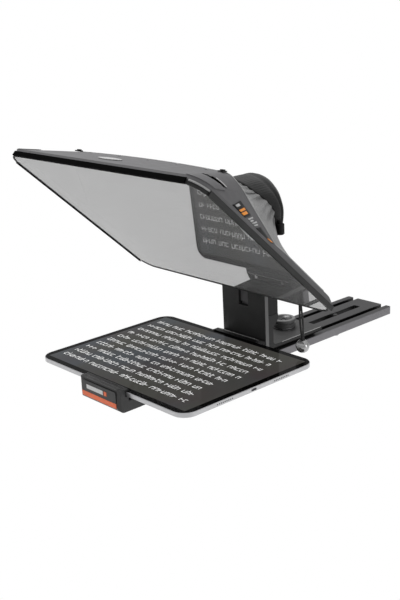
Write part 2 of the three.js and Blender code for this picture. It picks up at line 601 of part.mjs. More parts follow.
const OUTLINE = { topSteps: 10, cornerSteps: 6, sideSteps: 14, bottomSteps: 6 };

// Points of a rounded rectangle in the glass plane, in a fixed order and count: the top edge from
// left to right, then the right side down, the bottom, and the left side up.
function rimOutline(halfWidth, start, end, corner) {
  const points = [];
  const line = (x0, y0, x1, y1, steps) => {
    for (let i = 0; i < steps; i++) {
      points.push([THREE.MathUtils.lerp(x0, x1, i / steps), THREE.MathUtils.lerp(y0, y1, i / steps)]);
    }
  };
  const bend = (x, y, fromDegrees) =>
    points.push(...arc(x, y, corner, fromDegrees, fromDegrees + 90, OUTLINE.cornerSteps).slice(0, -1));
  const inner = halfWidth - corner;
  line(-inner, start, inner, start, OUTLINE.topSteps);
  bend(inner, start + corner, -90);
  line(halfWidth, start + corner, halfWidth, end - corner, OUTLINE.sideSteps);
  bend(inner, end - corner, 0);
  line(inner, end, -inner, end, OUTLINE.bottomSteps);
  bend(-inner, end - corner, 90);
  line(-halfWidth, end - corner, -halfWidth, start + corner, OUTLINE.sideSteps);
  bend(-inner, start + corner, 180);
  return points;
}

const ramp = (value, from, to) => THREE.MathUtils.clamp((value - from) / (to - from), 0, 1);

// The shell's rim at the given inset, straight behind the glass.
function frontRing(inset, depth) {
  const { halfWidth, start, end, corner } = SHELL;
  return rimOutline(halfWidth - inset, start + inset, end - inset, corner - inset)
    .map(([x, y]) => new THREE.Vector3(x, y, depth));
}

// The shell's back edge: deep behind the glass's top, shallow along its lower half, and bowed
// backwards along the roof.
function backRing(inset) {
  const { start, end, topHalfWidth, lowHalfWidth, flareLength, widening } = SHELL_BACK;
  const outline = rimOutline(SHELL.halfWidth - inset, start + inset, end - inset, SHELL.corner - inset);
  return outline.map(([x, y]) => {
    const flare = THREE.MathUtils.smoothstep(y, start, start + widening);
    const width = THREE.MathUtils.lerp(topHalfWidth, lowHalfWidth, flare) / SHELL.halfWidth;
    const low = THREE.MathUtils.lerp(SHELL_DEPTH.low, SHELL_DEPTH.end, ramp(y, start + flareLength, end));
    const depth = THREE.MathUtils.lerp(SHELL_DEPTH.top, low, ramp(y, start, start + flareLength));
    const middle = (1 - (x / SHELL.halfWidth) ** 2) * (1 - ramp(y, start, start + SHELL_DEPTH.bulgeLength));
    return new THREE.Vector3(x * width, y + SHELL_DEPTH.bulge * middle, depth + SHELL_DEPTH.bulge * middle);
  });
}

const between = (ringA, ringB, t) => ringA.map((point, i) => point.clone().lerp(ringB[i], t));

function addShell() {
  const rings = [
    frontRing(0, SHELL.front), frontRing(0, SHELL.straight), backRing(0),
    backRing(SHELL_WALL), frontRing(SHELL_WALL, SHELL.straight), frontRing(SHELL_WALL, SHELL.front),
  ];
  const slots = [-1, 1].map((side) => {
    const x = ordered(side * CORNER_SLOT.innerX, side * (SHELL.halfWidth + 10));
    return box(...x, -10, CORNER_SLOT.down, CORNER_SLOT.from, CORNER_SLOT.to);
  });
  add('hood_shell', cut(ringSkin(rings), ...slots), MATERIAL.greyPlastic, hood);
}

// Places a flat piece, drawn lying on the XY plane, on the roof: at a point of the rim outline's top
// edge (0 at the left end) and a share of the way back.
function onRoof(geometry, step, share) {
  const [front, back] = [frontRing(0, SHELL.straight)[step], backRing(0)[step]];
  const at = front.clone().lerp(back, share);
  const slope = Math.atan2(back.z - front.z, back.y - front.y);
  return geometry.rotateX(slope).translate(at.x, at.y, at.z);
}

function addRoofFittings() {
  const badge = post(1, 0, 0, 0, BADGE.thick, 32).scale(BADGE.halfWidth, BADGE.halfLength, 1);
  add('roof_badge', onRoof(badge.translate(BADGE.x, 0, GAP), OUTLINE.topSteps / 2, BADGE.back),
    MATERIAL.blackPlastic, hood);
  for (let i = 1; i < OUTLINE.topSteps; i += 2) {
    const stud = post(ROOF_STUD.radius, 0, 0, ROOF_STUD.from, ROOF_STUD.to);
    add(`roof_stud_${(i + 1) / 2}`, onRoof(stud, i, ROOF_STUD.back), MATERIAL.steel, hood);
  }
  for (const [name, step] of [['left', 0], ['right', OUTLINE.topSteps]]) {
    const clip = join(...[CLIP, CLIP.tongue].map(
      ({ halfWidth, from, to, lowZ, highZ }) => centredBox(halfWidth, from, to, lowZ, highZ)));
    add(`corner_clip_${name}`, onRoof(clip, step, CLIP.back), MATERIAL.blackPlastic, hood);
  }
}

function addGlass() {
  const { halfWidth, length, thick, start } = GLASS;
  const corner = SHELL.corner - (SHELL.halfWidth - halfWidth);
  const pane = raised(roundedRectangle(-halfWidth, halfWidth, start, start + length, corner), 0, thick, 8);
  add('beam_splitter_glass', pane, MATERIAL.glass, hood);
  const { outer, inner, lip, frontDepth, backDepth } = EDGING;
  const gasket = ringSkin([
    frontRing(outer, frontDepth), frontRing(outer, backDepth), frontRing(lip, backDepth),
    frontRing(lip, thick + GAP), frontRing(inner, thick + GAP), frontRing(inner, frontDepth)]);
  add('glass_gasket', gasket, MATERIAL.rubber, hood);
}

// A cap strip over one edge of the glass and shell: an angle whose lip holds the glass.
function capStrip(length) {
  const { outer, lip, lipThick, depth, chamfer } = BAR;
  const section = new THREE.Shape([
    [0, -lipThick - GAP], [outer + lip, -lipThick - GAP], [outer + lip, -GAP], [outer, -GAP],
    [outer, depth], [chamfer, depth], [0, depth - chamfer],
  ].map(([across, back]) => new THREE.Vector2(across, back)));
  return new THREE.ExtrudeGeometry(section, { depth: length, bevelEnabled: false });
}

function addBars() {
  // The strip's section is drawn across and back from its outer face; it runs along local Z.
  const toX = new THREE.Matrix4().makeBasis(
    new THREE.Vector3(0, 1, 0), new THREE.Vector3(0, 0, 1), new THREE.Vector3(1, 0, 0));
  const top = capStrip(2 * BAR.topHalfLength).applyMatrix4(toX);
  top.translate(-BAR.topHalfLength, SHELL.start - GAP - BAR.outer, 0);
  add('top_bar', top, MATERIAL.blackPlastic, hood);

  const sideLength = BAR.sideEnd - BAR.sideStart;
  const outerX = SHELL.halfWidth + GAP + BAR.outer;
  const toLeft = new THREE.Matrix4().makeBasis(
    new THREE.Vector3(1, 0, 0), new THREE.Vector3(0, 0, 1), new THREE.Vector3(0, -1, 0));
  const left = capStrip(sideLength).applyMatrix4(toLeft).translate(-outerX, BAR.sideEnd, 0);
  add('left_bar', left, MATERIAL.blackPlastic, hood);
  const toRight = new THREE.Matrix4().makeBasis(
    new THREE.Vector3(-1, 0, 0), new THREE.Vector3(0, 0, 1), new THREE.Vector3(0, 1, 0));
  const right = capStrip(sideLength).applyMatrix4(toRight).translate(outerX, BAR.sideStart, 0);
  add('right_bar', right, MATERIAL.blackPlastic, hood);
}

// ---------------------------------------------------------------- fabric shroud

// A ring of points round the camera's lens, matched one to one with the rim outline's points.
function lensRing(radius, y) {
  const centre = hood.worldToLocal(new THREE.Vector3(0, y, COLLAR.centreZ));
  const middle = (SHELL_BACK.start + SHELL_BACK.end) / 2;
  const half = (SHELL_BACK.end - SHELL_BACK.start) / 2;
  const outline = rimOutline(SHELL.halfWidth, SHELL_BACK.start, SHELL_BACK.end, SHELL.corner);
  const slant = THREE.MathUtils.degToRad(GLASS.slant);
  return outline.map(([x, down]) => {
    const angle = Math.atan2((down - middle) / half, x / SHELL.halfWidth);
    const [across, lower] = [Math.cos(angle) * radius, Math.sin(angle) * radius];
    return new THREE.Vector3(
      centre.x + across, centre.y + lower * Math.sin(slant), centre.z - lower * Math.cos(slant));
  });
}

function addShroud() {
  hood.updateMatrixWorld(true);
  const { clearance, thick, tucked, mouth, folds, overlap: lap } = SHROUD;
  const skin = (inset, shrink) => {
    const along = (share) => between(frontRing(inset, SHELL.straight), backRing(inset), share);
    const lens = lensRing(COLLAR.radius - shrink, COLLAR.frontY - lap);
    return [along(tucked), along(mouth), ...folds.map((share) => between(along(mouth), lens, share)), lens];
  };
  const outside = skin(SHELL_WALL + clearance, 0);
  const inside = skin(SHELL_WALL + clearance + thick, thick).reverse();
  add('shroud_fabric', ringSkin([...outside, ...inside]), MATERIAL.fabric, hood);

  const { radius, wall, frontY, backY, centreZ } = COLLAR;
  const collar = turned([
    [radius - wall, 0], [radius, 0], [radius, backY - frontY], [radius - wall, backY - frontY],
    [radius - wall, 0]]);
  collar.rotateX(-Math.PI / 2).translate(0, frontY, centreZ);
  add('shroud_collar', collar, MATERIAL.elastic);
}

const CORD_LOCK = {
  x: 52, y: -27, radius: 5.6, bottomZ: 179, topZ: 193, footEdge: 1.2, rimEdge: 0.6, bore: 4, boreDepth: 7.4,
};
const LOCK_BUTTON = { radius: 3.7, bottomZ: 188.6, topZ: 197.6, edge: 0.8 };

// A sprung cord lock on the collar's drawstring.
function addCordLock() {
  const { x, y, radius, bottomZ, topZ, footEdge, rimEdge, bore, boreDepth } = CORD_LOCK;
  const body = turned([
    [0, bottomZ], [radius - footEdge, bottomZ], [radius, bottomZ + footEdge], [radius, topZ - rimEdge],
    [radius - rimEdge, topZ], [bore, topZ], [bore, topZ - boreDepth], [0, topZ - boreDepth]], 20);
  add('cord_lock_body', body.translate(x, y, 0), MATERIAL.blackPlastic);
  const { radius: buttonRadius, bottomZ: buttonZ, topZ: buttonTopZ, edge } = LOCK_BUTTON;
  const button = turned([
    [0, buttonZ], [buttonRadius, buttonZ], [buttonRadius, buttonTopZ - edge],
    [buttonRadius - edge, buttonTopZ], [0, buttonTopZ]], 20);
  add('cord_lock_button', button.translate(x, y, 0), MATERIAL.blackPlastic);
}

// ---------------------------------------------------------------- hood carrier

function addCarrier() {
  const { halfWidth, wall, backY, bottomZ, topZ } = CARRIER;
  const postBack = POST.frontY + POST.thick;
  const slant = THREE.MathUtils.degToRad(GLASS.slant);
  // The arm's front end lies against the shell's lower wall.
  const endAt = (z) => {
    const down = (SHELL.end + GAP);
    const back = (z - GLASS.topZ + down * Math.sin(slant)) / Math.cos(slant);
    return GLASS.topY + down * Math.cos(slant) + back * Math.sin(slant);
  };
  const armBottom = POST.topZ + GAP;
  const arm = sideProfile([
    [endAt(armBottom), armBottom], [backY, armBottom], [backY, topZ], [endAt(topZ), topZ]], halfWidth);
  const channel = cut(
    centredBox(halfWidth, postBack + GAP, backY, bottomZ, armBottom + 1),
    centredBox(halfWidth - wall, postBack - 1, backY - wall, bottomZ - 1, armBottom));
  add('hood_carrier', join(arm, channel), MATERIAL.blackAluminium);
}

// ---------------------------------------------------------------- shroud cord

function addCord() {
  const { halfWidth, thick, fromDepth, toDepth } = ANCHOR;
  const anchor = box(STRING.anchorX - halfWidth, STRING.anchorX + halfWidth, SHELL.end + GAP,
    SHELL.end + GAP + thick, fromDepth, toDepth);
  add('cord_anchor', anchor, MATERIAL.blackPlastic, hood);

  const bottom = BALL.z + BALL.mouthFloor + GAP;
  const strand = (offset, belly) => new THREE.CatmullRomCurve3([
    new THREE.Vector3(STRING.anchorX + offset, STRING.y, STRING.topZ),
    new THREE.Vector3(STRING.anchorX + offset, STRING.y, STRING.topZ - STRING.straight),
    new THREE.Vector3(STRING.anchorX + offset + belly, STRING.y, (STRING.topZ + bottom) / 2),
    new THREE.Vector3(STRING.ballX + offset, STRING.y, bottom + STRING.straight),
    new THREE.Vector3(STRING.ballX + offset, STRING.y, bottom)]);
  for (const { name, offset, belly } of STRANDS) {
    add(`cord_strand_${name}`, wireAlong(strand(offset, belly), STRING.radius, 12), MATERIAL.elastic);
  }
  const ball = new THREE.SphereGeometry(BALL.radius, 28, 18).rotateX(Math.PI / 2);
  const mouth = post(BALL.mouthRadius, 0, 0, BALL.mouthFloor, BALL.radius + 1, 20);
  add('cord_ball', cut(ball, mouth).translate(STRING.ballX, STRING.y, BALL.z), MATERIAL.greyPlastic);
}

addTripodPlate();
addRail();
addCameraScrew();
addFoot();
addClamp();
addLatch();
addHolder();
addFrontJaw();
addTablet();
addShell();
addRoofFittings();
addGlass();
addBars();
addShroud();
addCordLock();
addCarrier();
addCord();

export default prompter;
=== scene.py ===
"""The teleprompter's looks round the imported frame: materials, cloth, cords, fittings, light and camera.

Lengths are in metres, in the part's own frame: +Y from the speaker to the camera, +Z up, and the origin
under the middle of the tripod plate.
"""

import json
import math
import random

import bpy
from mathutils import Matrix, Vector


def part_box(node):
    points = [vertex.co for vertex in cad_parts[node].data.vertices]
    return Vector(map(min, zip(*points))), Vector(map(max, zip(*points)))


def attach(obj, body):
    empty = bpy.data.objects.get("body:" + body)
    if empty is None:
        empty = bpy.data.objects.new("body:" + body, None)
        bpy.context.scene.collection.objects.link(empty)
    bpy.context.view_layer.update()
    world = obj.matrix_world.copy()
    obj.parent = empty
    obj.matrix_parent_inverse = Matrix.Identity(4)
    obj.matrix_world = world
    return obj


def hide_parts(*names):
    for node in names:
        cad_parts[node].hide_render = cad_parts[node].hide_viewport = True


MM = 0.001
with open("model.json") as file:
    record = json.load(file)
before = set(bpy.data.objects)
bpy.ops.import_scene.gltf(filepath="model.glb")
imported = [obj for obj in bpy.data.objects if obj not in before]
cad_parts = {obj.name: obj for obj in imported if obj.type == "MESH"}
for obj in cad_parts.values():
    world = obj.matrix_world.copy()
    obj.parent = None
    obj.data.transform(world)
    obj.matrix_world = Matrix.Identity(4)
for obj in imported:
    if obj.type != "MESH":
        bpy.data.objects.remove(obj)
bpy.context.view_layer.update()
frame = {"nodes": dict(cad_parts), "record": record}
nodes = frame["nodes"]


def placed(name, data):
    """A new object in the scene that shows that mesh, curve, light or camera."""
    made = bpy.data.objects.new(name, data)
    bpy.context.scene.collection.objects.link(made)
    return made


# -------------------------------- camera

CAMERA = {"place": (0.87633, -0.89676, 0.47421), "azimuth": 48.502, "elevation": 17.519, "roll": -2.8,
          "lens": 58.275}


def aimed_camera():
    """A long-lens view from the front right and a little above, with a slight roll."""
    azimuth, elevation, roll = (math.radians(CAMERA[turn]) for turn in ("azimuth", "elevation", "roll"))
    back = Vector((math.sin(azimuth) * math.cos(elevation), -math.cos(azimuth) * math.cos(elevation),
                   math.sin(elevation)))
    right = (-back).cross(Vector((0, 0, 1))).normalized()
    up = right.cross(-back)
    rolled_right = right * math.cos(roll) + up * math.sin(roll)
    rolled_up = up * math.cos(roll) - right * math.sin(roll)
    data = bpy.data.cameras.new("camera")
    data.lens = CAMERA["lens"]
    camera = placed("camera", data)
    camera.matrix_world = Matrix.Translation(CAMERA["place"]) @ Matrix(
        (rolled_right, rolled_up, back)).transposed().to_4x4()
    bpy.context.scene.camera = camera


aimed_camera()


# -------------------------------- material graphs

class Finish:
    """A Principled material whose colour, gloss and bump are made from nodes."""

    def __init__(self, name, roughness=0.5, metallic=0.0, **sockets):
        self.material = bpy.data.materials.new(name)
        self.material.use_nodes = True
        self.tree = self.material.node_tree
        self.shader = self.tree.nodes["Principled BSDF"]
        self.shader.inputs["Roughness"].default_value = roughness
        self.shader.inputs["Metallic"].default_value = metallic
        for socket, value in sockets.items():
            self.shader.inputs[socket.replace("_", " ")].default_value = value
        self.place = self.node("ShaderNodeTexCoord").outputs["Object"]
        self.height = None

    def node(self, kind, inputs=None, **settings):
        """A new node; each input is a value or another node's output."""
        made = self.tree.nodes.new(kind)
        for key, value in settings.items():
            setattr(made, key, value)
        for key, value in (inputs or {}).items():
            if isinstance(value, bpy.types.NodeSocket):
                self.tree.links.new(value, made.inputs[key])
            else:
                made.inputs[key].default_value = value
        return made

    def math(self, operation, a, b=0.0, c=0.0):
        """The result of one operation on up to three values."""
        return self.node("ShaderNodeMath", {0: a, 1: b, 2: c}, operation=operation).outputs[0]

    def axes(self):
        """The place on the piece, as its X, Y and Z in metres."""
        return self.node("ShaderNodeSeparateXYZ", {"Vector": self.place}).outputs

    def base(self):
        """What feeds the shader's colour so far."""
        return self.shader.inputs["Base Color"].links[0].from_socket

    def scaled(self, scale):
        """The place on the piece, multiplied along each axis."""
        return self.node("ShaderNodeMapping", {"Vector": self.place, "Scale": scale}).outputs[0]

    def noise(self, size, detail=2.0, stretch=(1, 1, 1)):
        """Cloudy noise with features of about that size, in metres."""
        vector = self.scaled(tuple(s / size for s in stretch))
        return self.node("ShaderNodeTexNoise", {"Vector": vector, "Scale": 1.0, "Detail": detail}).outputs[0]

    def ramp(self, value, low, high, low_out=0.0, high_out=1.0):
        """Maps the span from low to high onto the span from low_out to high_out, and holds its ends."""
        return self.node("ShaderNodeMapRange", {
            "Value": value, "From Min": low, "From Max": high, "To Min": low_out,
            "To Max": high_out}).outputs[0]

    def blend(self, factor, a, b):
        """The colour that share of the way from a to b."""
        mix = self.node("ShaderNodeMix", data_type="RGBA")
        for socket, value in zip((mix.inputs[0], mix.inputs[6], mix.inputs[7]), (factor, a, b)):
            if isinstance(value, bpy.types.NodeSocket):
                self.tree.links.new(value, socket)
            else:
                socket.default_value = value
        return mix.outputs[2]

    def colour(self, socket):
        """Feeds the shader's colour."""
        self.tree.links.new(socket, self.shader.inputs["Base Color"])
        return self

    def gloss(self, socket):
        """Feeds the shader's roughness."""
        self.tree.links.new(socket, self.shader.inputs["Roughness"])
        return self

    def bump(self, height, depth):
        """Adds relief of that depth in metres, on top of any relief already there."""
        made = self.node("ShaderNodeBump", {"Height": height, "Distance": depth, "Strength": 1.0})
        if self.height is not None:
            self.tree.links.new(self.height, made.inputs["Normal"])
        self.height = made.outputs[0]
        self.tree.links.new(self.height, self.shader.inputs["Normal"])
        return self


def rgba(grey, tint=(1, 1, 1)):
    """A grey, with a slight tint, as a linear colour."""
    return tuple(grey * t for t in tint) + (1.0,)


def spread_of(base, spread):
    """The darker and the lighter colour, that share away from a base colour."""
    return [tuple(c * (1 + way * spread) for c in base[:3]) + (1.0,) for way in (-1, 1)]


def mottled(name, base, spread, size=0.02, roughness=(0.4, 0.55), grain=0.0004, depth=0.00003, **more):
    """A finish whose colour and gloss drift slowly over the surface, with a fine even grain."""
    finish = Finish(name, **more)
    drift = finish.ramp(finish.noise(size, 3.0), 0.3, 0.7)
    low, high = spread_of(base, spread)
    finish.colour(finish.blend(drift, low, high))
    finish.gloss(finish.ramp(finish.noise(size * 0.4, 4.0), 0.3, 0.7, *roughness))
    if grain:
        finish.bump(finish.noise(grain, 1.0), depth)
    return finish


def brushed(name, base, spread, direction, roughness=(0.3, 0.45), metallic=1.0):
    """Metal with fine lines along one axis: the stretch is small along the lines."""
    finish = Finish(name, metallic=metallic)
    lines = finish.noise(0.0006, 2.0, direction)
    drift = finish.ramp(finish.noise(0.03, 3.0), 0.3, 0.7)
    low, high = spread_of(base, spread)
    finish.colour(finish.blend(finish.math("MULTIPLY_ADD", lines, 0.6, finish.math("MULTIPLY", drift, 0.4)),
                               low, high))
    finish.gloss(finish.ramp(lines, 0.3, 0.7, *roughness))
    finish.bump(lines, 0.00002)
    return finish


def paint_rail_shade(finish):
    """Painted shade on the rail: darker upward faces, and darker recesses between its outer sides, which get
    little light.
    """
    x, _, z = finish.axes()[:3]
    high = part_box("camera_rail")[1]
    dark_below, plain_above = high.z - 0.9 * MM, high.z - 0.35 * MM
    wall_inside, wall_outside = high.x - 1.6 * MM, high.x - 0.9 * MM
    under = finish.ramp(z, dark_below, plain_above, 1.0, 0.0)
    within = finish.ramp(finish.math("ABSOLUTE", x), wall_inside, wall_outside, 1.0, 0.0)
    shade = finish.math("MULTIPLY", under, within)
    normal = finish.node("ShaderNodeNewGeometry").outputs["Normal"]
    facing = finish.node("ShaderNodeSeparateXYZ", {"Vector": normal})
    upward = finish.ramp(facing.outputs[2], 0.9, 0.98)
    # Painted shade: the upward faces take a darker colour.
    painted_dark_top = finish.blend(upward, finish.base(), rgba(0.042, (1, 0.98, 1.02)))
    finish.colour(finish.blend(shade, painted_dark_top, rgba(0.004)))
    return finish


def paint_plate_edge_highlight(finish):
    """Painted highlight on the side edges of the post's plate near its front; the flanges behind them
    are darkened."""
    x, y = finish.axes()[:2]
    low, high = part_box("foot_bracket")
    side = finish.ramp(finish.math("ABSOLUTE", x), high.x - 0.5 * MM, high.x - 0.2 * MM)
    plate = finish.ramp(y, low.y + 5.6 * MM, low.y + 6.0 * MM, 1.0, 0.0)
    darker_flanges = finish.blend(side, finish.base(), rgba(0.008))
    # Painted highlight on the plate's side edge.
    finish.colour(finish.blend(finish.math("MULTIPLY", side, plate), darker_flanges, rgba(0.115)))
    return finish


def paint_knob_highlight_and_shade(finish):
    """A painted highlight round the lock knob's top, and painted shade in the dish inside it."""
    x, y, z = finish.axes()[:3]
    low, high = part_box("lock_knob")
    across = finish.math("SUBTRACT", x, (low.x + high.x) / 2)
    along = finish.math("SUBTRACT", y, (low.y + high.y) / 2)
    radius = finish.math("SQRT", finish.math("ADD", finish.math("MULTIPLY", across, across),
                                             finish.math("MULTIPLY", along, along)))
    dish, ring_inside, ring_outside = 11.2 * MM, 11.4 * MM, 11.8 * MM
    top = finish.ramp(z, high.z - 0.9 * MM, high.z - 0.5 * MM)
    on_ring = finish.math("MULTIPLY", top, finish.ramp(radius, ring_inside, ring_outside))
    # Painted highlight on the ring round the knob's top.
    highlit_ring = finish.blend(on_ring, finish.base(), rgba(0.15))
    finish.colour(finish.blend(finish.ramp(radius, dish, ring_outside), rgba(0.010), highlit_ring))
    return finish


def woven(name, dark, light, pitch, roughness=0.85, sheen=0.3):
    """Plain-weave cloth: two sets of threads that pass over and under each other."""
    finish = Finish(name, roughness=roughness, Sheen_Weight=sheen, Sheen_Roughness=0.5)
    turns = finish.scaled((2 * math.pi / pitch,) * 3)
    x, y, z = finish.node("ShaderNodeSeparateXYZ", {"Vector": turns}).outputs[:3]
    around = finish.math("SINE", finish.math("ADD", x, y))
    along = finish.math("SINE", finish.math("SUBTRACT", z, y))
    threads = finish.ramp(finish.math("MULTIPLY", around, along), -1.0, 1.0)
    fuzz = finish.noise(0.004, 4.0)
    finish.colour(finish.blend(
        finish.math("MULTIPLY_ADD", threads, 0.55, finish.math("MULTIPLY", fuzz, 0.45)), dark, light))
    finish.bump(threads, 0.0001)
    finish.bump(finish.noise(0.012, 3.0), 0.0003)
    return finish


def make_finishes():
    """Every finish by name: those named like a material slot come first, then the special ones."""
    anodised = {"roughness": (0.42, 0.5), "grain": 0.0003, "depth": 0.00001, "Specular_IOR_Level": 0.3}
    black = mottled("black_anodising", rgba(0.030), 0.12, **anodised)
    return {
        "rail_aluminium": paint_rail_shade(brushed("anodised_rail", rgba(0.19, (1, 0.98, 1.03)), 0.10, (1, 0.03, 1),
                                         (0.34, 0.46), 0.6)),
        "black_aluminium": black,
        "black_steel": black,
        "steel": brushed("zinc_plate", rgba(0.55), 0.08, (1, 1, 0.1), (0.25, 0.4)),
        "black_plastic": mottled("black_moulding", rgba(0.006), 0.15, roughness=(0.45, 0.55),
                                 Specular_IOR_Level=0.2),
        "grey_plastic": mottled("grey_moulding", rgba(0.105, (1, 0.985, 1.02)), 0.06, roughness=(0.5, 0.6),
                                depth=0.00004, Specular_IOR_Level=0.3),
        "rubber": mottled("rubber", rgba(0.012), 0.2, roughness=(0.75, 0.9), grain=0.0008, depth=0.00005),
        "orange_plastic": mottled("orange_band", (0.78, 0.135, 0.035, 1), 0.06, roughness=(0.35, 0.45),
                                  depth=0.000005),
        "tablet_silver": mottled("blasted_aluminium", rgba(0.50, (1, 1, 1.02)), 0.03, roughness=(0.28, 0.34),
                                 metallic=0.9, grain=0.00015, depth=0.000004),
        "tablet_screen": display_finish(),
        "beam_splitter": half_mirror(),
        "shroud_cloth": woven("blackout_cloth", rgba(0.035), rgba(0.066), 0.0009),
        # The elastic's near-black is partly its own colour and partly painted shade of the shroud's upper
        # part.
        "elastic": woven("ribbed_elastic", rgba(0.003), rgba(0.014), 0.0010, sheen=0.12),
        "bracket": paint_plate_edge_highlight(mottled("bracket_anodising", rgba(0.030), 0.12, **anodised)),
        "carrier": mottled("carrier_anodising", rgba(0.010), 0.12, roughness=(0.45, 0.55),
                           Specular_IOR_Level=0.2),
        "jaw": mottled("jaw_moulding", rgba(0.036), 0.12, roughness=(0.4, 0.5), Specular_IOR_Level=0.35),
        "ridge": mottled("jaw_ridge", rgba(0.10), 0.1, roughness=(0.35, 0.45), grain=0),
        "knob": paint_knob_highlight_and_shade(mottled("knob_moulding", rgba(0.07), 0.12, roughness=(0.28, 0.36), grain=0.0005,
                               depth=0.00001)),
        "ball": mottled("ball_moulding", rgba(0.42), 0.08, roughness=(0.14, 0.2), grain=0.001,
                        depth=0.000004, metallic=0.85),
        # The top and left bars take a darker copy of the bars' black, painted shade, and the right bar a
        # lighter, glossier copy, painted light.
        "top_bar": mottled("bar_black_painted_shade", rgba(0.0022), 0.15, roughness=(0.6, 0.7), Specular_IOR_Level=0.01),
        "side_bar": mottled("bar_black_painted_light", rgba(0.018), 0.15, roughness=(0.45, 0.55),
                            Specular_IOR_Level=0.3),
        # Light finishes for rods that are painted highlights along edges and on the slots' lips.
        "painted_highlight": mottled("shell_edge_highlight", rgba(0.32), 0.06, roughness=(0.35, 0.45), depth=0.00001),
        "edge_light": mottled("slot_lip_highlight", rgba(0.62), 0.08, roughness=(0.25, 0.35), grain=0),
        "braid": woven("braided_cord", rgba(0.005), rgba(0.02), 0.0011),
        "piping": woven("piping", rgba(0.02), rgba(0.05), 0.0008),
        "amber": mottled("label_amber", (0.80, 0.27, 0.02, 1), 0.06, roughness=(0.45, 0.55), grain=0),
        "label_white": mottled("label_white", rgba(0.62), 0.05, size=0.004, roughness=(0.4, 0.5), grain=0),
        "label_ink": mottled("label_ink", rgba(0.42), 0.35, size=0.0016, roughness=(0.4, 0.5), grain=0),
        "lit_text": lit_text(),
    }


def display_finish():
    """Black bezel round a picture of soft dark colours, under polished glass."""
    finish = Finish("display", roughness=0.06, Specular_IOR_Level=0.03)
    low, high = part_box("tablet_screen")
    bezel, blur = 8.2 * MM, 0.2 * MM
    centre, half = (low + high) / 2, (high - low) / 2
    within = []
    for axis, place in enumerate(finish.axes()[:2]):
        away = finish.math("ABSOLUTE", finish.math("SUBTRACT", place, centre[axis]))
        edge = half[axis] - bezel
        within.append(finish.ramp(away, edge - blur, edge + blur, 1.0, 0.0))
    inside = finish.math("MULTIPLY", *within)
    smudge = finish.ramp(finish.noise(0.05, 3.0), 0.3, 0.7, 0.9, 1.1)
    warm = finish.ramp(finish.noise(0.09, 1.0), 0.35, 0.65)
    olive = finish.ramp(finish.noise(0.06, 1.0, (1, 0.6, 1)), 0.4, 0.62)
    slate_to_maroon = finish.blend(warm, rgba(0.040, (0.88, 1.0, 1.12)), rgba(0.030, (1.12, 0.94, 0.98)))
    drift = finish.blend(olive, slate_to_maroon, rgba(0.034, (1.03, 1.02, 0.9)))
    finish.colour(finish.blend(inside, rgba(0.003), drift))
    finish.gloss(finish.math("MULTIPLY", smudge, 0.07))
    glow = finish.blend(inside, rgba(0.0), drift)
    finish.tree.links.new(glow, finish.shader.inputs["Emission Color"])
    finish.shader.inputs["Emission Strength"].default_value = 1.0
    return finish


def lit_text():
    """The display's white letters, with the slight unevenness of a backlight."""
    finish = Finish("lit_text", roughness=0.2)
    level = finish.ramp(finish.noise(0.08, 2.0), 0.3, 0.7, 0.5, 0.62)
    finish.colour(finish.blend(level, rgba(0.2), rgba(0.5)))
    finish.tree.links.new(finish.blend(level, rgba(0.2), rgba(0.6)), finish.shader.inputs["Emission Color"])
    finish.shader.inputs["Emission Strength"].default_value = 1.8
    return finish


def half_mirror():
    """Coated glass: its outer faces send part of the light back and let the rest through."""
    finish = Finish("half_mirror")
    tree = finish.tree
    through = finish.node("ShaderNodeBsdfTransparent", {"Color": rgba(0.62, (0.98, 1, 0.99))})
    back = finish.node("ShaderNodeBsdfGlossy", {"Color": rgba(0.74), "Roughness": 0.012})
    haze = finish.node("ShaderNodeBsdfDiffuse", {"Color": rgba(0.8)})
    facing = finish.node("ShaderNodeFresnel", {"IOR": 1.5}).outputs[0]
    straight_on = finish.ramp(finish.noise(0.05, 3.0), 0.3, 0.7, 0.34, 0.36)
    grazing = finish.ramp(facing, 0.04, 1.0, 0.0, 0.66)
    outside = finish.math("SUBTRACT", 1.0, finish.node("ShaderNodeNewGeometry").outputs["Backfacing"])
    share = finish.math("MULTIPLY", finish.math("ADD", grazing, straight_on), outside)
    mirror = finish.node("ShaderNodeMixShader", {0: share, 1: through.outputs[0], 2: back.outputs[0]})
    veil = finish.math("MULTIPLY", outside, 0.15)
    mix = finish.node("ShaderNodeMixShader", {0: veil, 1: mirror.outputs[0], 2: haze.outputs[0]})
    tree.links.new(mix.outputs[0], tree.nodes["Material Output"].inputs["Surface"])
    tree.nodes.remove(finish.shader)
    return finish


FINISHES = make_finishes()


# -------------------------------- finishes of the frame's own pieces

def soft_shading_group(angle):
    """A node group that shades a mesh smooth and keeps its edges above that angle sharp."""
    group = bpy.data.node_groups.new("soft_shading", "GeometryNodeTree")
    group.interface.new_socket("Geometry", in_out="INPUT", socket_type="NodeSocketGeometry")
    group.interface.new_socket("Geometry", in_out="OUTPUT", socket_type="NodeSocketGeometry")
    make, link = group.nodes.new, group.links.new
    start, end = make("NodeGroupInput"), make("NodeGroupOutput")
    smooth, sharp = make("GeometryNodeSetShadeSmooth"), make("GeometryNodeSetShadeSmooth")
    sharp.domain = "EDGE"
    sharp.inputs["Shade Smooth"].default_value = False
    bend, above = make("GeometryNodeInputMeshEdgeAngle"), make("FunctionNodeCompare")
    above.operation = "GREATER_THAN"
    above.inputs[1].default_value = angle
    link(bend.outputs[0], above.inputs[0])
    link(start.outputs[0], smooth.inputs["Geometry"])
    link(smooth.outputs[0], sharp.inputs["Geometry"])
    link(above.outputs[0], sharp.inputs["Selection"])
    link(sharp.outputs[0], end.inputs[0])
    return group


SOFT_SHADING = soft_shading_group(math.radians(35))


def shade_softly(piece):
    """Smooth shading with sharp edges kept, and normals that follow the larger faces."""
    piece.modifiers.new("soft_shading", "NODES").node_group = SOFT_SHADING
    piece.modifiers.new("even_normals", "WEIGHTED_NORMAL").keep_sharp = True


SLOT_OF = {s["node"]: s["material_slot"] for s in frame["record"]["subparts"]}
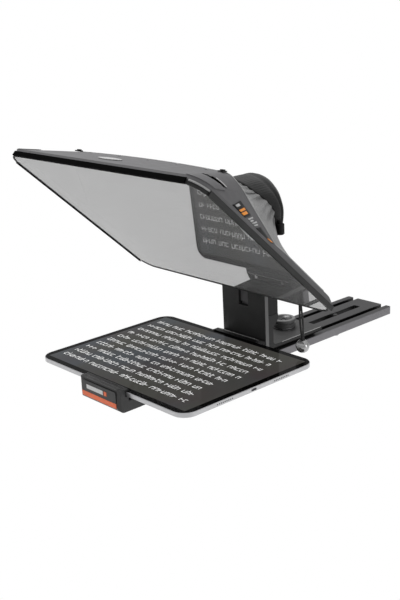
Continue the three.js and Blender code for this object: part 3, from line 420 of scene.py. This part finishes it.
# Nodes with a finish of their own, and how wide an edge is broken, in millimetres.
SPECIAL = {"lock_knob": "knob", "cord_ball": "ball", "roof_badge": "label_ink", "top_bar": "top_bar",
           "foot_bracket": "bracket", "front_jaw": "jaw", "jaw_label": "jaw", "hood_carrier": "carrier",
           "left_bar": "top_bar", "right_bar": "side_bar"}
SOFT_EDGE = {
    "camera_rail": 0.35, "foot_bracket": 0.4, "hood_carrier": 0.6, "holder_beam": 0.5, "arm_sleeve": 0.7,
    "rear_jaw": 0.5, "front_jaw": 0.6, "tripod_plate": 0.5, "carriage_shoe": 0.4, "top_bar": 0.35,
    "left_bar": 0.3, "right_bar": 0.3, "latch_button": 0.5, "screw_washer": 0.3, "clamp_nut": 0.3,
    "jaw_label": 0.12, "jaw_stripe": 0.12, "guide_key_left": 0.3, "guide_key_right": 0.3,
    "post_guide_left": 0.4, "post_guide_right": 0.4, "cord_anchor": 0.5, "latch_leaf": 0.2,
    "corner_clip_left": 0.2, "corner_clip_right": 0.2, "roof_badge": 0.2,
}
WELD_REACH, BEVEL_ABOVE = 0.004 * MM, math.radians(32)


def dress(node):
    """Gives a CAD node its finish, clean shading and slightly broken edges."""
    piece = nodes[node]
    finish = FINISHES[SPECIAL.get(node, SLOT_OF[node])]
    piece.data.materials.clear()
    piece.data.materials.append(finish.material)
    weld = piece.modifiers.new("weld", "WELD")
    weld.merge_threshold = WELD_REACH
    width = SOFT_EDGE.get(node)
    if width:
        bevel = piece.modifiers.new("broken_edges", "BEVEL")
        bevel.width = width * MM
        bevel.segments = 2
        bevel.limit_method = "ANGLE"
        bevel.angle_limit = BEVEL_ABOVE
        bevel.use_clamp_overlap = True
    shade_softly(piece)


for name in nodes:
    dress(name)


# -------------------------------- the hood's own frame

# The glass's top edge and its slant. RIM is the hood's rounded outline in the glass's plane, BACK the
# shell's back edge: half widths, places down the slant and depths behind the glass.
GLASS_TOP = Vector((0, -0.2734, 0.2965))
SLANT = math.radians(42.2)
RIM = {"half": 0.1755, "start": 0.0, "end": 0.2785, "corner": 0.024, "straight": 0.009}
BACK = {"top_half": 0.150, "low_half": 0.1735, "flare": 0.080, "top": 0.049, "low": 0.013, "end": 0.0115,
        "bulge": 0.008, "bulge_reach": 0.030, "start": 0.062, "finish": 0.276}
LENS = {"centre": Vector((0, -0.040, 0.2032)), "radius": 0.046}
ELASTIC = {"side_front": -0.031, "top_front": -0.058, "back": -0.014}
# How much of each side's step along the outline is its straight part; the rest is its corner.
STRAIGHT_SHARE = (10 / 16, 14 / 20, 6 / 12, 14 / 20)
HOOD_MIDDLE = (0, 0.14, 0.02)


def smoothstep(value, low, high):
    """0 below low, 1 above high, with a soft start and end."""
    t = min(max((value - low) / (high - low), 0.0), 1.0)
    return t * t * (3 - 2 * t)


def mix(a, b, t):
    """The value that share of the way from a to b."""
    return a + (b - a) * t


def spaced(low, high, count):
    """That many values, evenly from low to high."""
    return [mix(low, high, i / (count - 1)) for i in range(count)]


def turns(count):
    """That many angles, evenly once round."""
    return [2 * math.pi * k / count for k in range(count)]


def elastic_front(angle):
    """Where the elastic begins, along Y: it reaches further forward over the top of the lens."""
    return mix(ELASTIC["side_front"], ELASTIC["top_front"], smoothstep(math.sin(angle), 0.1, 1.0))


def from_hood(x, down, behind):
    """A point across, down the slant and behind the glass, in the object's frame."""
    c, s = math.cos(SLANT), math.sin(SLANT)
    return Vector((x, GLASS_TOP.y + down * c + behind * s, GLASS_TOP.z - down * s + behind * c))


def rim_point(along, inset=0.0, start=None, end=None):
    """A point of the hood's rounded outline: 0 to 1 is the top edge from left to right, 1 to 2 the
    right side downwards, 2 to 3 the bottom and 3 to 4 the left side upwards, corners included."""
    half = RIM["half"] - inset
    low = (RIM["start"] if start is None else start) + inset
    high = (RIM["end"] if end is None else end) - inset
    corner = RIM["corner"] - inset
    side, part = int(along) % 4, along - int(along)
    straight = (2 * (half - corner), high - low - 2 * corner)[side % 2]
    share = STRAIGHT_SHARE[side]
    if part < share:
        x, y = straight * (part / share - 0.5), -corner
    else:
        angle = (part - share) / (1 - share) * math.pi / 2
        x, y = straight / 2 + corner * math.sin(angle), -corner * math.cos(angle)
    reach = half - corner
    middle = (low + high) / 2
    if side == 0:
        return x, low + corner + y
    if side == 1:
        return reach - y, middle + x
    if side == 2:
        return -x, high - corner - y
    return -reach + y, middle - x


def back_point(along, inset=0.0):
    """A point of the shell's back edge: deep behind the top, shallow along the lower half, and bowed
    backwards along the roof."""
    x, y = rim_point(along, inset, BACK["start"], BACK["finish"])
    since = y - BACK["start"]
    width = mix(BACK["top_half"], BACK["low_half"], smoothstep(since, 0, BACK["flare"] * 1.3)) / RIM["half"]
    fall = (since - BACK["flare"]) / (BACK["finish"] - BACK["start"] - BACK["flare"])
    low = mix(BACK["low"], BACK["end"], min(max(fall, 0), 1))
    depth = mix(BACK["top"], low, min(max(since / BACK["flare"], 0), 1))
    middle = (1 - (x / RIM["half"]) ** 2) * (1 - min(max(since / BACK["bulge_reach"], 0), 1))
    return Vector((x * width, y + BACK["bulge"] * middle, depth + BACK["bulge"] * middle))


def front_point(along, inset=0.0):
    """A point of the shell's outline where its straight front rim ends."""
    return Vector((*rim_point(along, inset), RIM["straight"]))


def shell_point(along, share, out=0.0):
    """A point on the hood shell, along its outline and a share of the way from front to back, or
    lifted off it by that distance."""
    def at(place):
        return front_point(place).lerp(back_point(place), share)
    here, near = at(along), 0.004
    if out:
        deep = back_point(along) - front_point(along)
        normal = (at(along + near) - at(along - near)).cross(deep).normalized()
        here = here + normal * out
    return from_hood(*here)


# -------------------------------- making pieces

def piece_from(name, vertices, faces, body, finish, standing_for=(), smooth=True):
    """A new piece that rides on a body, and takes the place of any nodes it stands for."""
    mesh = bpy.data.meshes.new(name)
    mesh.from_pydata([tuple(v) for v in vertices], [], faces)
    mesh.materials.append(FINISHES[finish].material)
    made = placed(name, mesh)
    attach(made, body)
    if standing_for:
        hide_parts(*standing_for)
    if smooth:
        mesh.polygons.foreach_set("use_smooth", [True] * len(mesh.polygons))
    mesh.update()
    return made


def grid_faces(rows, columns, around=False):
    """Quads between rows of points; around joins the last column to the first."""
    last = columns if around else columns - 1
    return [(r * columns + c, r * columns + (c + 1) % columns, (r + 1) * columns + (c + 1) % columns,
             (r + 1) * columns + c) for r in range(rows - 1) for c in range(last)]


def cap_faces(count, total):
    """The two end faces of a tube whose rings have that many points."""
    return [tuple(range(count)), tuple(range(total - count, total))[::-1]]


def thicken(piece, thickness, offset=-1.0):
    """Gives a sheet that thickness, on its inner side unless the offset says otherwise."""
    made = piece.modifiers.new("thickness", "SOLIDIFY")
    made.thickness, made.offset = thickness, offset


# -------------------------------- drawstring

STRING = {"anchor_x": 0.114, "ball_x": 0.1164, "y": -0.0595, "top": 0.1104, "bottom": 0.0589,
          "straight": 0.008, "radius": 0.00125, "steps": 6}
FERRULE = {"low": 0.0588, "high": 0.0606, "radius": 0.0030, "edge": 0.0004, "foot": 0.0003, "sides": 24}


def smooth_path(keys, steps):
    """Points of a smooth curve through all the keys."""
    padded = [keys[0]] + keys + [keys[-1]]
    points = []
    for i in range(len(keys) - 1):
        a, b, c, d = padded[i:i + 4]
        for k in range(steps + (i == len(keys) - 2)):
            t = k / steps
            points.append(0.5 * (2 * b + (c - a) * t + (2 * a - 5 * b + 4 * c - d) * t ** 2
                                 + (3 * b - a - 3 * c + d) * t ** 3))
    return points


def strand(name, offset, belly, solid):
    """One strand of the drawstring, from its anchor under the glass down into the ball."""
    top, bottom, straight = STRING["top"], STRING["bottom"], STRING["straight"]
    upper, lower = STRING["anchor_x"] + offset, STRING["ball_x"] + offset
    keys = [(upper, top), (upper, top - straight), (upper + belly, (top + bottom) / 2),
            (lower, bottom + straight), (lower, bottom)]
    points = smooth_path([Vector((x, STRING["y"], z)) for x, z in keys], STRING["steps"])
    curve = bpy.data.curves.new(name, "CURVE")
    curve.dimensions = "3D"
    curve.bevel_depth = STRING["radius"]
    curve.bevel_resolution = 4
    curve.use_fill_caps = True
    spline = curve.splines.new("POLY")
    spline.points.add(len(points) - 1)
    for point, target in zip(points, spline.points):
        target.co = (*point, 1)
    curve.materials.append(FINISHES["braid"].material)
    made = placed(name, curve)
    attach(made, "hood")
    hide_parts(solid)
    length = sum((b - a).length for a, b in zip(points, points[1:]))
    return made, points, length


left_strand, left_points, left_length = strand("drawstring_left", -0.0015, 0.0004, "cord_strand_left")
right_strand, right_points, right_length = strand("drawstring_right", 0.0015, 0.0022, "cord_strand_right")


def ferrule():
    """The crimp that holds the strands' ends in the ball's mouth."""
    low, high, radius, edge, foot, count = FERRULE.values()
    centre = Vector((STRING["ball_x"], STRING["y"], 0))
    rings = [(radius - edge, low), (radius, low + foot), (radius, high - edge), (radius - edge, high)]
    vertices = [centre + Vector((r * math.cos(a), r * math.sin(a), z)) for r, z in rings
                for a in turns(count)]
    faces = grid_faces(len(rings), count, True)
    faces += [tuple(range(count))[::-1], tuple(range(3 * count, 4 * count))]
    return piece_from("drawstring_ferrule", vertices, faces, "hood", "black_plastic")


ferrule()


# -------------------------------- fabric shroud

SHROUD_COLUMNS = 256
SHROUD_ROWS = 44
# The cloth's inset from the shell, the shares of the shell's depth where it is held and where it
# leaves, the share of its rows inside the shell, how it meets the elastic, and its sag.
CLOTH = {"inset": 0.0052, "held": 0.9, "mouth": 1.03, "inside": 0.06, "under_elastic": 0.0022,
         "past_elastic": 0.003, "slack": 0.045, "thick": 0.0007}
# Depths of the puckers and of the broad folds, and how many of each go round the lens.
PUCKERS = {"depth": 0.0013, "many": 34, "few": 21}
FOLDS = {"depth": 0.0016, "few": 7, "many": 11}
SEAM = {"sides": 8, "radius": 0.0009, "proud": 0.0004, "first": 3, "last": SHROUD_ROWS - 2}


def lens_angle(x, y):
    """The turn round the lens that belongs to a point of the shell's back outline."""
    middle, half = (BACK["start"] + BACK["finish"]) / 2, (BACK["finish"] - BACK["start"]) / 2
    return math.atan2((y - middle) / half, x / RIM["half"])


def shroud():
    """Blackout cloth from inside the shell's back edge to the elastic opening round the lens: it
    puckers where the elastic gathers it, and hangs slack between."""
    rng = random.Random(7)
    phases = [rng.uniform(0, 2 * math.pi) for _ in range(8)]
    inset, inside = CLOTH["inset"], CLOTH["inside"]
    vertices = []
    for row in range(SHROUD_ROWS):
        t = row / (SHROUD_ROWS - 1)
        for column in range(SHROUD_COLUMNS):
            along = 4 * column / SHROUD_COLUMNS
            front, back = front_point(along, inset), back_point(along, inset)
            held = from_hood(*front.lerp(back, CLOTH["held"]))
            mouth = from_hood(*front.lerp(back, CLOTH["mouth"]))
            if t < inside:
                vertices.append(held.lerp(mouth, t / inside))
                continue
            angle = lens_angle(*rim_point(along, 0.0, BACK["start"], BACK["finish"]))
            outwards = Vector((math.cos(angle), 0, -math.sin(angle)))
            lens = LENS["centre"] + outwards * (LENS["radius"] - CLOTH["under_elastic"])
            lens.y = elastic_front(-angle) + CLOTH["past_elastic"]
            u = (t - inside) / (1 - inside)
            point = mouth.lerp(lens, u)
            centre = from_hood(*HOOD_MIDDLE).lerp(LENS["centre"], u)
            inward = (centre - point).normalized()
            span = (lens - mouth).length
            slack = CLOTH["slack"] * span * math.sin(math.pi * u)
            fold = smoothstep(u, 0.25, 0.97) * (1 - 0.55 * smoothstep(u, 0.93, 1.0))
            pucker = PUCKERS["depth"] * fold * (
                math.sin(PUCKERS["many"] * angle + phases[0])
                + 0.55 * math.sin(PUCKERS["few"] * angle + phases[1]))
            broad = FOLDS["depth"] * math.sin(math.pi * u) * (
                math.sin(FOLDS["few"] * angle + 4 * u + phases[2])
                + 0.7 * math.sin(FOLDS["many"] * angle - 5 * u + phases[3]))
            vertices.append(point + inward * (slack + pucker + broad))
    cloth = piece_from("shroud_cloth", vertices, grid_faces(SHROUD_ROWS, SHROUD_COLUMNS, True), "hood",
                       "shroud_cloth", ("shroud_fabric",))
    return cloth, vertices


cloth, cloth_points = shroud()
thicken(cloth, CLOTH["thick"])


def seam(name, column):
    """A piped seam that runs from the shell's corner to the opening."""
    sides, radius = SEAM["sides"], SEAM["radius"]
    path = [cloth_points[row * SHROUD_COLUMNS + column % SHROUD_COLUMNS]
            for row in range(SEAM["first"], SEAM["last"])]
    middle = from_hood(*HOOD_MIDDLE)
    vertices = []
    for i, point in enumerate(path):
        ahead = (path[min(i + 1, len(path) - 1)] - path[max(i - 1, 0)]).normalized()
        out = point - middle
        out = (out - ahead * out.dot(ahead)).normalized()
        across = ahead.cross(out)
        for a in turns(sides):
            vertices.append(point + out * (SEAM["proud"] + radius * math.cos(a))
                            + across * radius * math.sin(a))
    faces = grid_faces(len(path), sides, True) + cap_faces(sides, len(vertices))
    return piece_from(name, vertices, faces, "hood", "piping")


def corner_column(side):
    """The shroud column at the middle of the corner that ends that side of the outline."""
    return round((side + (1 + STRAIGHT_SHARE[side]) / 2) * SHROUD_COLUMNS / 4)


seams = [seam(f"shroud_seam_{i + 1}", corner_column(i)) for i in range(4)]

# The collar's points round and along it, its fine ribs and broad gathers, its crowned section with a
# hem near the back and a drawstring channel before it, and its wall.
COLLAR = {"around": 336, "profile": 15, "ribs": 84, "rib": 0.00016, "gathers": 13, "gather": 0.00030,
          "inner": 0.0012, "crown": 0.0016, "hem": 0.0011, "hem_at": 0.86, "hem_wide": 0.07,
          "channel": -0.0009, "channel_at": 0.70, "channel_wide": 0.04, "wall": 0.0014}


def elastic_collar():
    """The gathered elastic round the lens: a soft tube of fine ribs with a drawstring channel. Its
    near-black, broadest over the top of the lens, is partly painted shade of the shroud's upper part.
    """
    around, profile = COLLAR["around"], COLLAR["profile"]
    vertices = []
    for angle in turns(around):
        front = elastic_front(angle)
        rib = (COLLAR["rib"] * math.sin(COLLAR["ribs"] * angle)
               + COLLAR["gather"] * math.sin(COLLAR["gathers"] * angle))
        for i in range(profile):
            t = i / (profile - 1)
            crown = COLLAR["crown"] * math.sin(math.pi * t) + COLLAR["hem"] * math.exp(
                -((t - COLLAR["hem_at"]) / COLLAR["hem_wide"]) ** 2)
            pinch = COLLAR["channel"] * math.exp(-((t - COLLAR["channel_at"]) / COLLAR["channel_wide"]) ** 2)
            ribbed = rib * (0.4 + 0.6 * math.sin(math.pi * min(t * 1.4, 1)))
            reach = LENS["radius"] - COLLAR["inner"] + crown + pinch + ribbed
            vertices.append((reach * math.cos(angle), mix(front, ELASTIC["back"], t),
                             LENS["centre"].z + reach * math.sin(angle)))
    faces = [(k * profile + i, k * profile + i + 1, ((k + 1) % around) * profile + i + 1,
              ((k + 1) % around) * profile + i) for k in range(around) for i in range(profile - 1)]
    collar = piece_from("elastic_collar", vertices, faces, "hood", "elastic", ("shroud_collar",))
    thicken(collar, COLLAR["wall"], 1.0)
    return collar


collar = elastic_collar()


# -------------------------------- what the tablet shows

PAGE = {"rows": 10, "margin_x": 0.0165, "margin_y": 0.019, "ragged": 0.045, "stroke": 0.00076,
        "widths": (0.0040, 0.0048, 0.0056), "letter_gap": 0.0017, "word_gap": 0.0050, "lift": 0.00006,
        "ink": 0.00005}
# Shares of a row's pitch and of a tall letter's height.
TALL, BASE_LINE, LOW_LETTER, CROSS_BAR = 0.50, 0.3, 0.72, 0.36


def prompt_text():
    """Rows of word-like strokes on the display, seen the right way up in the glass. They spell nothing."""
    rng = random.Random(21)
    low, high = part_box("tablet_screen")
    z = high.z + PAGE["lift"]
    stroke = PAGE["stroke"]
    pitch = (high.y - low.y - 2 * PAGE["margin_y"]) / PAGE["rows"]
    tall = pitch * TALL
    vertices, faces = [], []

    def quad(x0, x1, y0, y1):
        """One flat rectangle."""
        start = len(vertices)
        vertices.extend([(x0, y0, z), (x1, y0, z), (x1, y1, z), (x0, y1, z)])
        faces.append((start, start + 1, start + 2, start + 3))

    def glyph(x, y, width):
        """One letter-like figure of two or three strokes."""
        body = tall * rng.choice((LOW_LETTER, LOW_LETTER, LOW_LETTER, 1.0))
        kind = rng.randrange(5)
        quad(x, x + stroke, y, y + body)
        if kind in (0, 1, 2):
            quad(x + width - stroke, x + width, y, y + (tall * LOW_LETTER if kind else body))
        if kind in (0, 3):
            quad(x, x + width, y, y + stroke)
        if kind in (1, 2, 3):
            quad(x, x + width, y + tall * LOW_LETTER - stroke, y + tall * LOW_LETTER)
        if kind == 4:
            quad(x, x + width, y + tall * CROSS_BAR, y + tall * CROSS_BAR + stroke)

    for row in range(PAGE["rows"]):
        y = low.y + PAGE["margin_y"] + (row + BASE_LINE) * pitch
        x = low.x + PAGE["margin_x"]
        end = high.x - PAGE["margin_x"] - rng.uniform(0.0, PAGE["ragged"])
        while x < end:
            for _ in range(rng.randint(2, 9)):
                width = rng.choice(PAGE["widths"])
                if x + width > end:
                    break
                glyph(x, y, width)
                x += width + PAGE["letter_gap"]
            x += PAGE["word_gap"]
    text = piece_from("prompt_rows", vertices, faces, "tablet", "lit_text", smooth=False)
    thicken(text, PAGE["ink"], 1.0)


prompt_text()


# -------------------------------- hood trim

# Spans along the hood's outline, as rim_point counts them.
CORNER_PANELS = {"right": (0.64, 0.985), "left": (3.72, 3.999)}
# The corner edges' and the shell edge's spans are for light rods that are painted highlights.
CORNER_EDGES = {"right": (0.70, 0.995), "left": (3.75, 3.93)}
CORNER_SLOTS = {"right": (0.78, 0.92), "left": (3.764, 3.876)}
SHELL_HIGHLIGHT = (3.65, 5.66)
GLASS_TRIMS = {"bottom": (1.790, 2.835), "right": (0.700, 0.945), "left": (3.748, 3.944)}
# The labels on the hood's right side: first and last place along the outline, near and far share of
# the shell's depth, and finish. They lean back as they go away from the glass.
LABELS = (
    (1.088, 1.162, 0.06, 0.62, "black_plastic"), (1.120, 1.131, 0.14, 0.54, "amber"),
    (1.136, 1.150, 0.10, 0.50, "amber"), (1.094, 1.106, 0.20, 0.44, "label_ink"),
    (1.170, 1.177, 0.16, 0.60, "label_ink"), (1.182, 1.189, 0.16, 0.48, "label_ink"),
    (1.194, 1.201, 0.16, 0.64, "label_ink"), (1.206, 1.213, 0.16, 0.56, "label_ink"),
    (1.224, 1.322, 0.10, 0.66, "black_plastic"), (1.290, 1.314, 0.16, 0.60, "amber"),
)
LABEL_LIFT = {"black_plastic": 0.0003, "amber": 0.0006, "label_ink": 0.0006}
LABEL_LEAN, LABEL_THICK = -0.085, 0.0003
# The panels' depth as a share of the shell's, and height. Then the rods along the shell, light ones that
# are painted highlights and dark ones that are painted shadow in the slots: where they run, how far they
# stand off it, and their radius.
PANEL = {"depth": 0.33, "height": 0.0005}
SHELL_HIGHLIGHT_RADIUS = 0.0007
CORNER_EDGE = {"inset": 0.0004, "behind": 0.0042, "radius": 0.0011}
SLOT_SHADE = {"share": 0.445, "out": -0.0002, "radius": 0.0010, "sooner": 0.03}
SLOT_LIP = {"share": 0.49, "out": 0.0003, "radius": 0.0006}
ROD_SIDES = 8


def surface_patch(name, alongs, shares, out, finish, thickness=0.0006, lean=0.0):
    """A thin moulded step or label that follows the shell: a grid of points lifted off it, thickened."""
    vertices = [shell_point(a + lean * s, s, out) for s in shares for a in alongs]
    made = piece_from(name, vertices, grid_faces(len(shares), len(alongs)), "hood", finish)
    thicken(made, thickness, 0.0)


def tube_along(name, path, radius, body, finish):
    """A closed round rod that follows a line of points."""
    vertices = []
    for i, point in enumerate(path):
        ahead = (path[min(i + 1, len(path) - 1)] - path[max(i - 1, 0)]).normalized()
        across = ahead.cross(Vector((0.3, 0.5, 1))).normalized()
        upward = across.cross(ahead)
        vertices += [point + (across * math.cos(a) + upward * math.sin(a)) * radius
                     for a in turns(ROD_SIDES)]
    faces = grid_faces(len(path), ROD_SIDES, True) + cap_faces(ROD_SIDES, len(vertices))
    piece_from(name, vertices, faces, body, finish)


def shell_details():
    """Raised corner panels, side labels, light rods of painted highlight along the shell's back edge, the
    corners' rims and the slots' lips, and dark rods of painted shadow in the slots.
    """
    for side, span in CORNER_PANELS.items():
        surface_patch(f"corner_panel_{side}", spaced(*span, 28), spaced(0.0, PANEL["depth"], 8),
                      PANEL["height"], "grey_plastic")
    for i, (first, last, near, far, finish) in enumerate(LABELS):
        surface_patch(f"side_label_{i + 1}", spaced(first, last, 8), spaced(near, far, 5), LABEL_LIFT[finish],
                      finish, LABEL_THICK, LABEL_LEAN)
    tube_along("shell_edge_highlight", [shell_point(a, 1.0) for a in spaced(*SHELL_HIGHLIGHT, 150)], SHELL_HIGHLIGHT_RADIUS, "hood",
               "painted_highlight")
    for side, span in CORNER_EDGES.items():
        path = [from_hood(*rim_point(a, CORNER_EDGE["inset"]), CORNER_EDGE["behind"])
                for a in spaced(*span, 24)]
        tube_along(f"corner_edge_{side}", path, CORNER_EDGE["radius"], "hood", "painted_highlight")
    for side, (first, last) in CORNER_SLOTS.items():
        sunk = [shell_point(a, SLOT_SHADE["share"], SLOT_SHADE["out"])
                for a in spaced(first - SLOT_SHADE["sooner"], last, 24)]
        tube_along(f"slot_shade_{side}", sunk, SLOT_SHADE["radius"], "hood", "top_bar")
        proud = [shell_point(a, SLOT_LIP["share"], SLOT_LIP["out"]) for a in spaced(first, last, 16)]
        tube_along(f"slot_lip_{side}", proud, SLOT_LIP["radius"], "hood", "edge_light")


shell_details()

# Grip ridges on the jaw's lip: the first one's distance behind the jaw's face, the step to the next,
# how far down they lie and how much that lessens, and the distance from the jaw's ends.
RIDGES = {"count": 3, "first": 2.6 * MM, "step": 2.1 * MM, "sunk": 0.30, "rise": 0.1, "ends": 6 * MM,
          "radius": 0.5 * MM}
# Plain marks on the jaw's label, from one X to another in millimetres; half their height, and how far
# in front of the label their back and front are.
JAW_MARKS = (("rule", -23, 9, "label_white", "grey_plastic"),
             ("mark", 11, 16, "orange_plastic", "orange_plastic"))
MARK_HALF, MARK_OFF = 2.6 * MM, (0.00005, 0.0003)


def jaw_details():
    """Grip ridges on the front jaw's lip, and plain marks on its label."""
    low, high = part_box("front_jaw")
    for i in range(RIDGES["count"]):
        y = low.y + RIDGES["first"] + RIDGES["step"] * i
        z = high.z - (RIDGES["sunk"] - RIDGES["rise"] * i) * MM
        across = spaced(low.x + RIDGES["ends"], high.x - RIDGES["ends"], 12)
        tube_along(f"jaw_ridge_{i + 1}", [Vector((x, y, z)) for x in across], RIDGES["radius"], "jaw",
                   "ridge")
    low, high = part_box("jaw_label")
    middle = (low.z + high.z) / 2
    for name, first, last, finish, slot in JAW_MARKS:
        corners = [(first * MM, middle - MARK_HALF), (last * MM, middle - MARK_HALF),
                   (last * MM, middle + MARK_HALF), (first * MM, middle + MARK_HALF)]
        vertices = [(x, low.y - off, z) for off in MARK_OFF for x, z in corners]
        faces = [(3, 2, 1, 0), (4, 5, 6, 7)] + grid_faces(2, 4, True)
        piece_from(f"jaw_label_{name}", vertices, faces, "jaw", finish, smooth=False)


jaw_details()

# The rear jaw's lip ends this far behind the tablet; the foot plate's top face is at this height, and
# the painted highlight on its edge starts at this Y. Then the radii of the two painted highlights.
LIP_BACK, FOOT_TOP, FOOT_START = 4.5 * MM, 0.0287, -15 * MM
EDGE_HIGHLIGHT_RADIUS = {"jaw": 0.0005, "foot": 0.0004}


def paint_edge_highlights():
    """Light lines of painted highlight along the rear jaw's lip and the foot plate's edge."""
    low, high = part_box("rear_jaw")
    back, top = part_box("tablet_case")[1].y + LIP_BACK, high.z - 0.1 * MM
    tube_along("rear_jaw_edge_highlight", [Vector((x, back, top)) for x in spaced(low.x + MM, high.x - MM, 12)],
               EDGE_HIGHLIGHT_RADIUS["jaw"], "carriage", "painted_highlight")
    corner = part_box("foot_bracket")[1]
    side, end = corner.x - 0.2 * MM, corner.y - 1.5 * MM
    tube_along("foot_edge_highlight", [Vector((side, y, FOOT_TOP - 0.2 * MM)) for y in spaced(FOOT_START, end, 12)],
               EDGE_HIGHLIGHT_RADIUS["foot"], "carriage", "painted_highlight")


paint_edge_highlights()

SPEAKER = {"count": 9, "pitch": 2.9 * MM, "from_port": 46 * MM, "radius": 0.85 * MM, "sides": 12,
           "inside": 0.4 * MM, "proud": 0.03 * MM}


def speaker_grilles():
    """Dark mesh behind the two rows of speaker holes in the tablet's edge."""
    low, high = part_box("tablet_case")
    middle_y, middle_z = (low.y + high.y) / 2, (low.z + high.z) / 2
    count, radius, sides = SPEAKER["count"], SPEAKER["radius"], SPEAKER["sides"]
    for name, way in (("front", -1), ("rear", 1)):
        vertices, faces = [], []
        for i in range(count):
            y = middle_y + way * SPEAKER["from_port"] + (i - (count - 1) / 2) * SPEAKER["pitch"]
            start = len(vertices)
            for x in (high.x - SPEAKER["inside"], high.x + SPEAKER["proud"]):
                vertices += [(x, y + radius * math.cos(a), middle_z + radius * math.sin(a))
                             for a in turns(sides)]
            faces += [tuple(start + v for v in face)
                      for face in grid_faces(2, sides, True) + cap_faces(sides, 2 * sides)]
        piece_from(f"speaker_grille_{name}", vertices, faces, "tablet", "black_plastic",
                   smooth=False)


speaker_grilles()

# The rubber lip's section: inset from the outline, and place behind the glass's front.
TRIM_SECTION = ((-0.0001, 0.0018), (-0.0001, -0.0007), (0.0019, -0.0007), (0.0019, -0.0002),
                (0.0004, -0.0002), (0.0004, 0.0018))
TRIM_POINTS = 40


def edge_trim(side, first, last):
    """Black rubber lip over the glass's edge, where no cap strip covers it."""
    vertices = [from_hood(*rim_point(along, inset), behind) for along in spaced(first, last, TRIM_POINTS)
                for inset, behind in TRIM_SECTION]
    size = len(TRIM_SECTION)
    faces = grid_faces(TRIM_POINTS, size, True) + cap_faces(size, len(vertices))
    made = piece_from(f"glass_trim_{side}", vertices, faces, "hood", "rubber", smooth=False)
    shade_softly(made)


for side, span in GLASS_TRIMS.items():
    edge_trim(side, *span)


# -------------------------------- light and floor

# The walls' brightness, from just under the horizon to straight up.
WALLS = {"from": -0.2, "to": 1.0, "low": 0.36, "high": 0.8}
FLOOR = {"reach": 30.0, "level": -0.42}


def studio():
    """A white studio: a broad soft light from above and the left, a weak one from the right, and
    dimmer walls round them."""
    world = bpy.data.worlds.new("studio")
    world.use_nodes = True
    tree = world.node_tree
    background = tree.nodes["Background"]
    background.inputs[0].default_value = (1, 1, 1, 1)
    direction = tree.nodes.new("ShaderNodeTexCoord")
    split = tree.nodes.new("ShaderNodeSeparateXYZ")
    height = tree.nodes.new("ShaderNodeMapRange")
    for socket, value in zip(height.inputs[1:5], WALLS.values()):
        socket.default_value = value
    seen = tree.nodes.new("ShaderNodeLightPath")
    pick = tree.nodes.new("ShaderNodeMix")
    pick.inputs[3].default_value = 1.0
    tree.links.new(direction.outputs["Generated"], split.inputs[0])
    tree.links.new(split.outputs[2], height.inputs[0])
    tree.links.new(seen.outputs["Is Camera Ray"], pick.inputs[0])
    tree.links.new(height.outputs[0], pick.inputs[2])
    tree.links.new(pick.outputs[0], background.inputs[1])
    bpy.context.scene.world = world
    bpy.context.scene.view_settings.view_transform = "Standard"

    def softbox(name, place, aim, size, power):
        """A round soft light at a place, turned towards its aim."""
        data = bpy.data.lights.new(name, "AREA")
        data.shape, data.size, data.energy = "DISK", size, power
        light = placed(name, data)
        light.location = place
        light.rotation_euler = (Vector(aim) - Vector(place)).to_track_quat("-Z", "Y").to_euler()

    softbox("key", (-1.0, 0.2, 2.0), (0, -0.05, 0.1), 1.2, 38)
    softbox("side", (1.9, 0.6, 0.35), (0, 0.1, 0.02), 0.9, 6)

    mesh = bpy.data.meshes.new("floor")
    reach, level = FLOOR["reach"], FLOOR["level"]
    mesh.from_pydata([(-reach, -reach, level), (reach, -reach, level), (reach, reach, level),
                      (-reach, reach, level)], [], [(0, 1, 2, 3)])
    floor = placed("floor", mesh)
    paper = Finish("white_paper", roughness=0.9)
    paper.colour(paper.blend(paper.noise(0.6), rgba(0.9), rgba(0.93)))
    lit = paper.node("ShaderNodeEmission", {"Color": rgba(1.0)})
    seen = paper.node("ShaderNodeLightPath").outputs["Is Camera Ray"]
    both = paper.node("ShaderNodeMixShader", {0: seen, 1: paper.shader.outputs[0], 2: lit.outputs[0]})
    paper.tree.links.new(both.outputs[0], paper.tree.nodes["Material Output"].inputs["Surface"])
    mesh.materials.append(paper.material)


studio()
